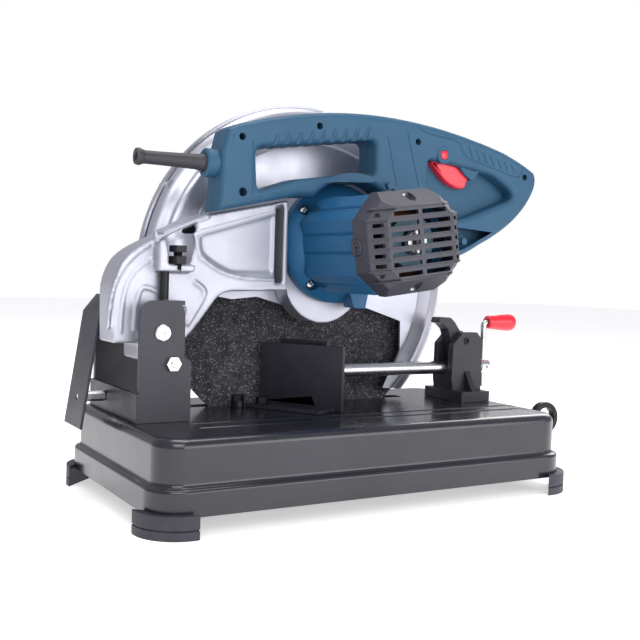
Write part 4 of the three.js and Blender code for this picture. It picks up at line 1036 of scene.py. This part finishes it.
def handle():
    """The two grip shells with their holes, seam, ribs and flutes, and the screws, button and boot."""
    near, far, split = HANDLE["near"], HANDLE["far"], HANDLE["split"]
    grip_hole = rounded([(109, 354, 3), (106, 289, 14), (155, 290, 20), (238, 322, 18),
                         (200, 344, 10), (170, 348, 3)])
    body = slab(handle_outline(), near, far, (carry_hole(), grip_hole), edge=6.5, steps=5)
    radius, count = 9, 9
    scallops = []
    for i in range(count):
        x = -90 + 112 * i / (count - 1)
        top = 347 + (x + 101) * 0.15
        scallops.append(rod((x, top + 1.3 - radius), radius, near - 8, far + 8, sides=40))
    for scallop in scallops:
        boolean(body, scallop)
    collar = lathe([(0, BOOT["x"] - 15), (12.5, BOOT["x"] - 15), (14, BOOT["x"] - 13.5), (14, BOOT["x"] + 6),
                    (0, BOOT["x"] + 6)], (split, BOOT["z"]), "X", 48)
    boolean(body, collar, "UNION")
    boss = lathe([(0, near - 1.2), (8.4, near - 1.2), (9.6, near), (9.6, near + 4), (0, near + 4)],
                 BUTTON, sides=40)
    boolean(body, boss, "UNION")
    lip = rounded([(150, 352), (176, 347), (183, 352), (181, 345), (176, 338), (171, 336), (160, 343)], 1.5)
    guard_lip = slab(lip, split - 14, split + 14, edge=1.0)
    boolean(body, guard_lip, "UNION")
    ribs, flutes = [], []
    for face in (near, far):
        boolean(body, tube([(x, face, z) for x, z in seam_path()], 0.75, 8, smooth=False))
        for i in range(7):
            x = 166 + 10.5 * i
            ribs.append(tube([(x - 5, face, 373 - 2.6 * i), (x + 1, face, 360 - 1.9 * i)], 0.9, 8))
        for points in (((52, 372), (65, 322)), ((77, 380), (94, 324)), ((-106, 352), (-105, 300))):
            ribs.append(tube([(x, face, z) for x, z in points], 0.7, 8))
    for i in range(13):
        x = 150 + 7.0 * i
        z = 386.6 - (i * 0.155) ** 2 * 7 - i * 1.15
        ribs.append(tube([(x, split - 14, z + 1.1), (x, split, z + 1.3), (x, split + 14, z + 1.1)], 1.15, 8))
    for i in range(9):
        x = 23 - 13.3 * i
        z = 365 - 2.35 * i
        for face, way in ((near, 1), (far, -1)):
            flutes.append(tube([(x, face + way * 2.2, z - 3), (x + 2, face - way * 0.2, z + 5),
                                (x + 5, face - way * 1.9, z + 15)], 2.7, 12))
    boolean(body, joined(ribs))
    boolean(body, joined(flutes))
    for i, centre in enumerate(HANDLE_SCREWS):
        size = 4.4 if i == 2 else 3.6
        boolean(body, rod(centre, size, near - 4, near + 9, sides=28))
        screw = pan_screw(centre, near + 6.0, -1, min(size - 0.4, 3.6), 2.2)
        place(screw, f"handle_screw_{i + 1}", BLACK_STEEL, "head", "bright_steel")
    boolean(body, rod(BUTTON, 5.4, near - 4, near + 18, sides=32))
    boolean(body, rod((split, BOOT["z"]), 9.3, BOOT["x"] - 20, BOOT["x"] + 4, "X", 32))
    opening = [(113, 359.5), (175, 355.5), (173, 335), (143, 335), (111, 345)]
    boolean(body, slab(opening, split - 10.4, split + 10.4))
    seam = 0.22
    near_half = layer(copy_of(body), near - 20, split - seam)
    far_half = layer(body, split + seam, far + 20)
    for side, half in (("near", near_half), ("far", far_half)):
        place(half, f"grip_shell_{side}", HANDLE_TEAL, "head", "teal_plastic", f"handle_{side}_shell",
              sharp=28)
    trigger()
    button = lathe([(0, near - 2.0), (3.8, near - 2.0), (4.7, near - 1.5), (5, near - 0.6),
                    (5, near + 4.5), (2.6, near + 4.5), (2.6, near + 15), (0, near + 15)],
                   BUTTON, sides=40)
    place(button, "lock_on_button", RED, "lock_button", "red_plastic", "lock_button")
    x = BOOT["x"]
    profile = [(3.6, 0), (10.6, 0), (10.6, 4), (9, 4), (9, 14), (8.2, 18), (7.4, 24), (6.9, 40),
               (6.4, 60), (6.3, 74), (7.0, 77), (8, 79), (8.1, 81.5), (7.4, 83), (4.4, 83), (3.6, 82)]
    boot = lathe([(radius, x - along) for radius, along in profile], (split, BOOT["z"]), "X", 48)
    place(boot, "cord_boot", BOOT_RUBBER, "head", "rubber_black", "strain_relief")


def trigger():
    split = HANDLE["split"]
    profile = rounded([(116.5, 353.5, 2), (126, 355.8, 3), (150, 352.5, 14), (171, 346.5, 2), (171, 341, 2),
                       (165.5, 327, 3), (156, 326, 8), (138, 332, 20)], 2, 6)
    blade = slab(profile, split - 10, split + 10, edge=2.6, steps=4)
    place(blade, "switch_trigger", RED, "trigger", "red_plastic", "trigger", sharp=40)


# ---- build ---------------------------------------------------------------------------------------
add_camera()
add_stage()
for build in (base_pan, feet, rear_bracket, fence, vise, wrench, arm, guard, wheel, depth_stop, motor_housing,
              vent_cap, motor_inside, handle):
    build()
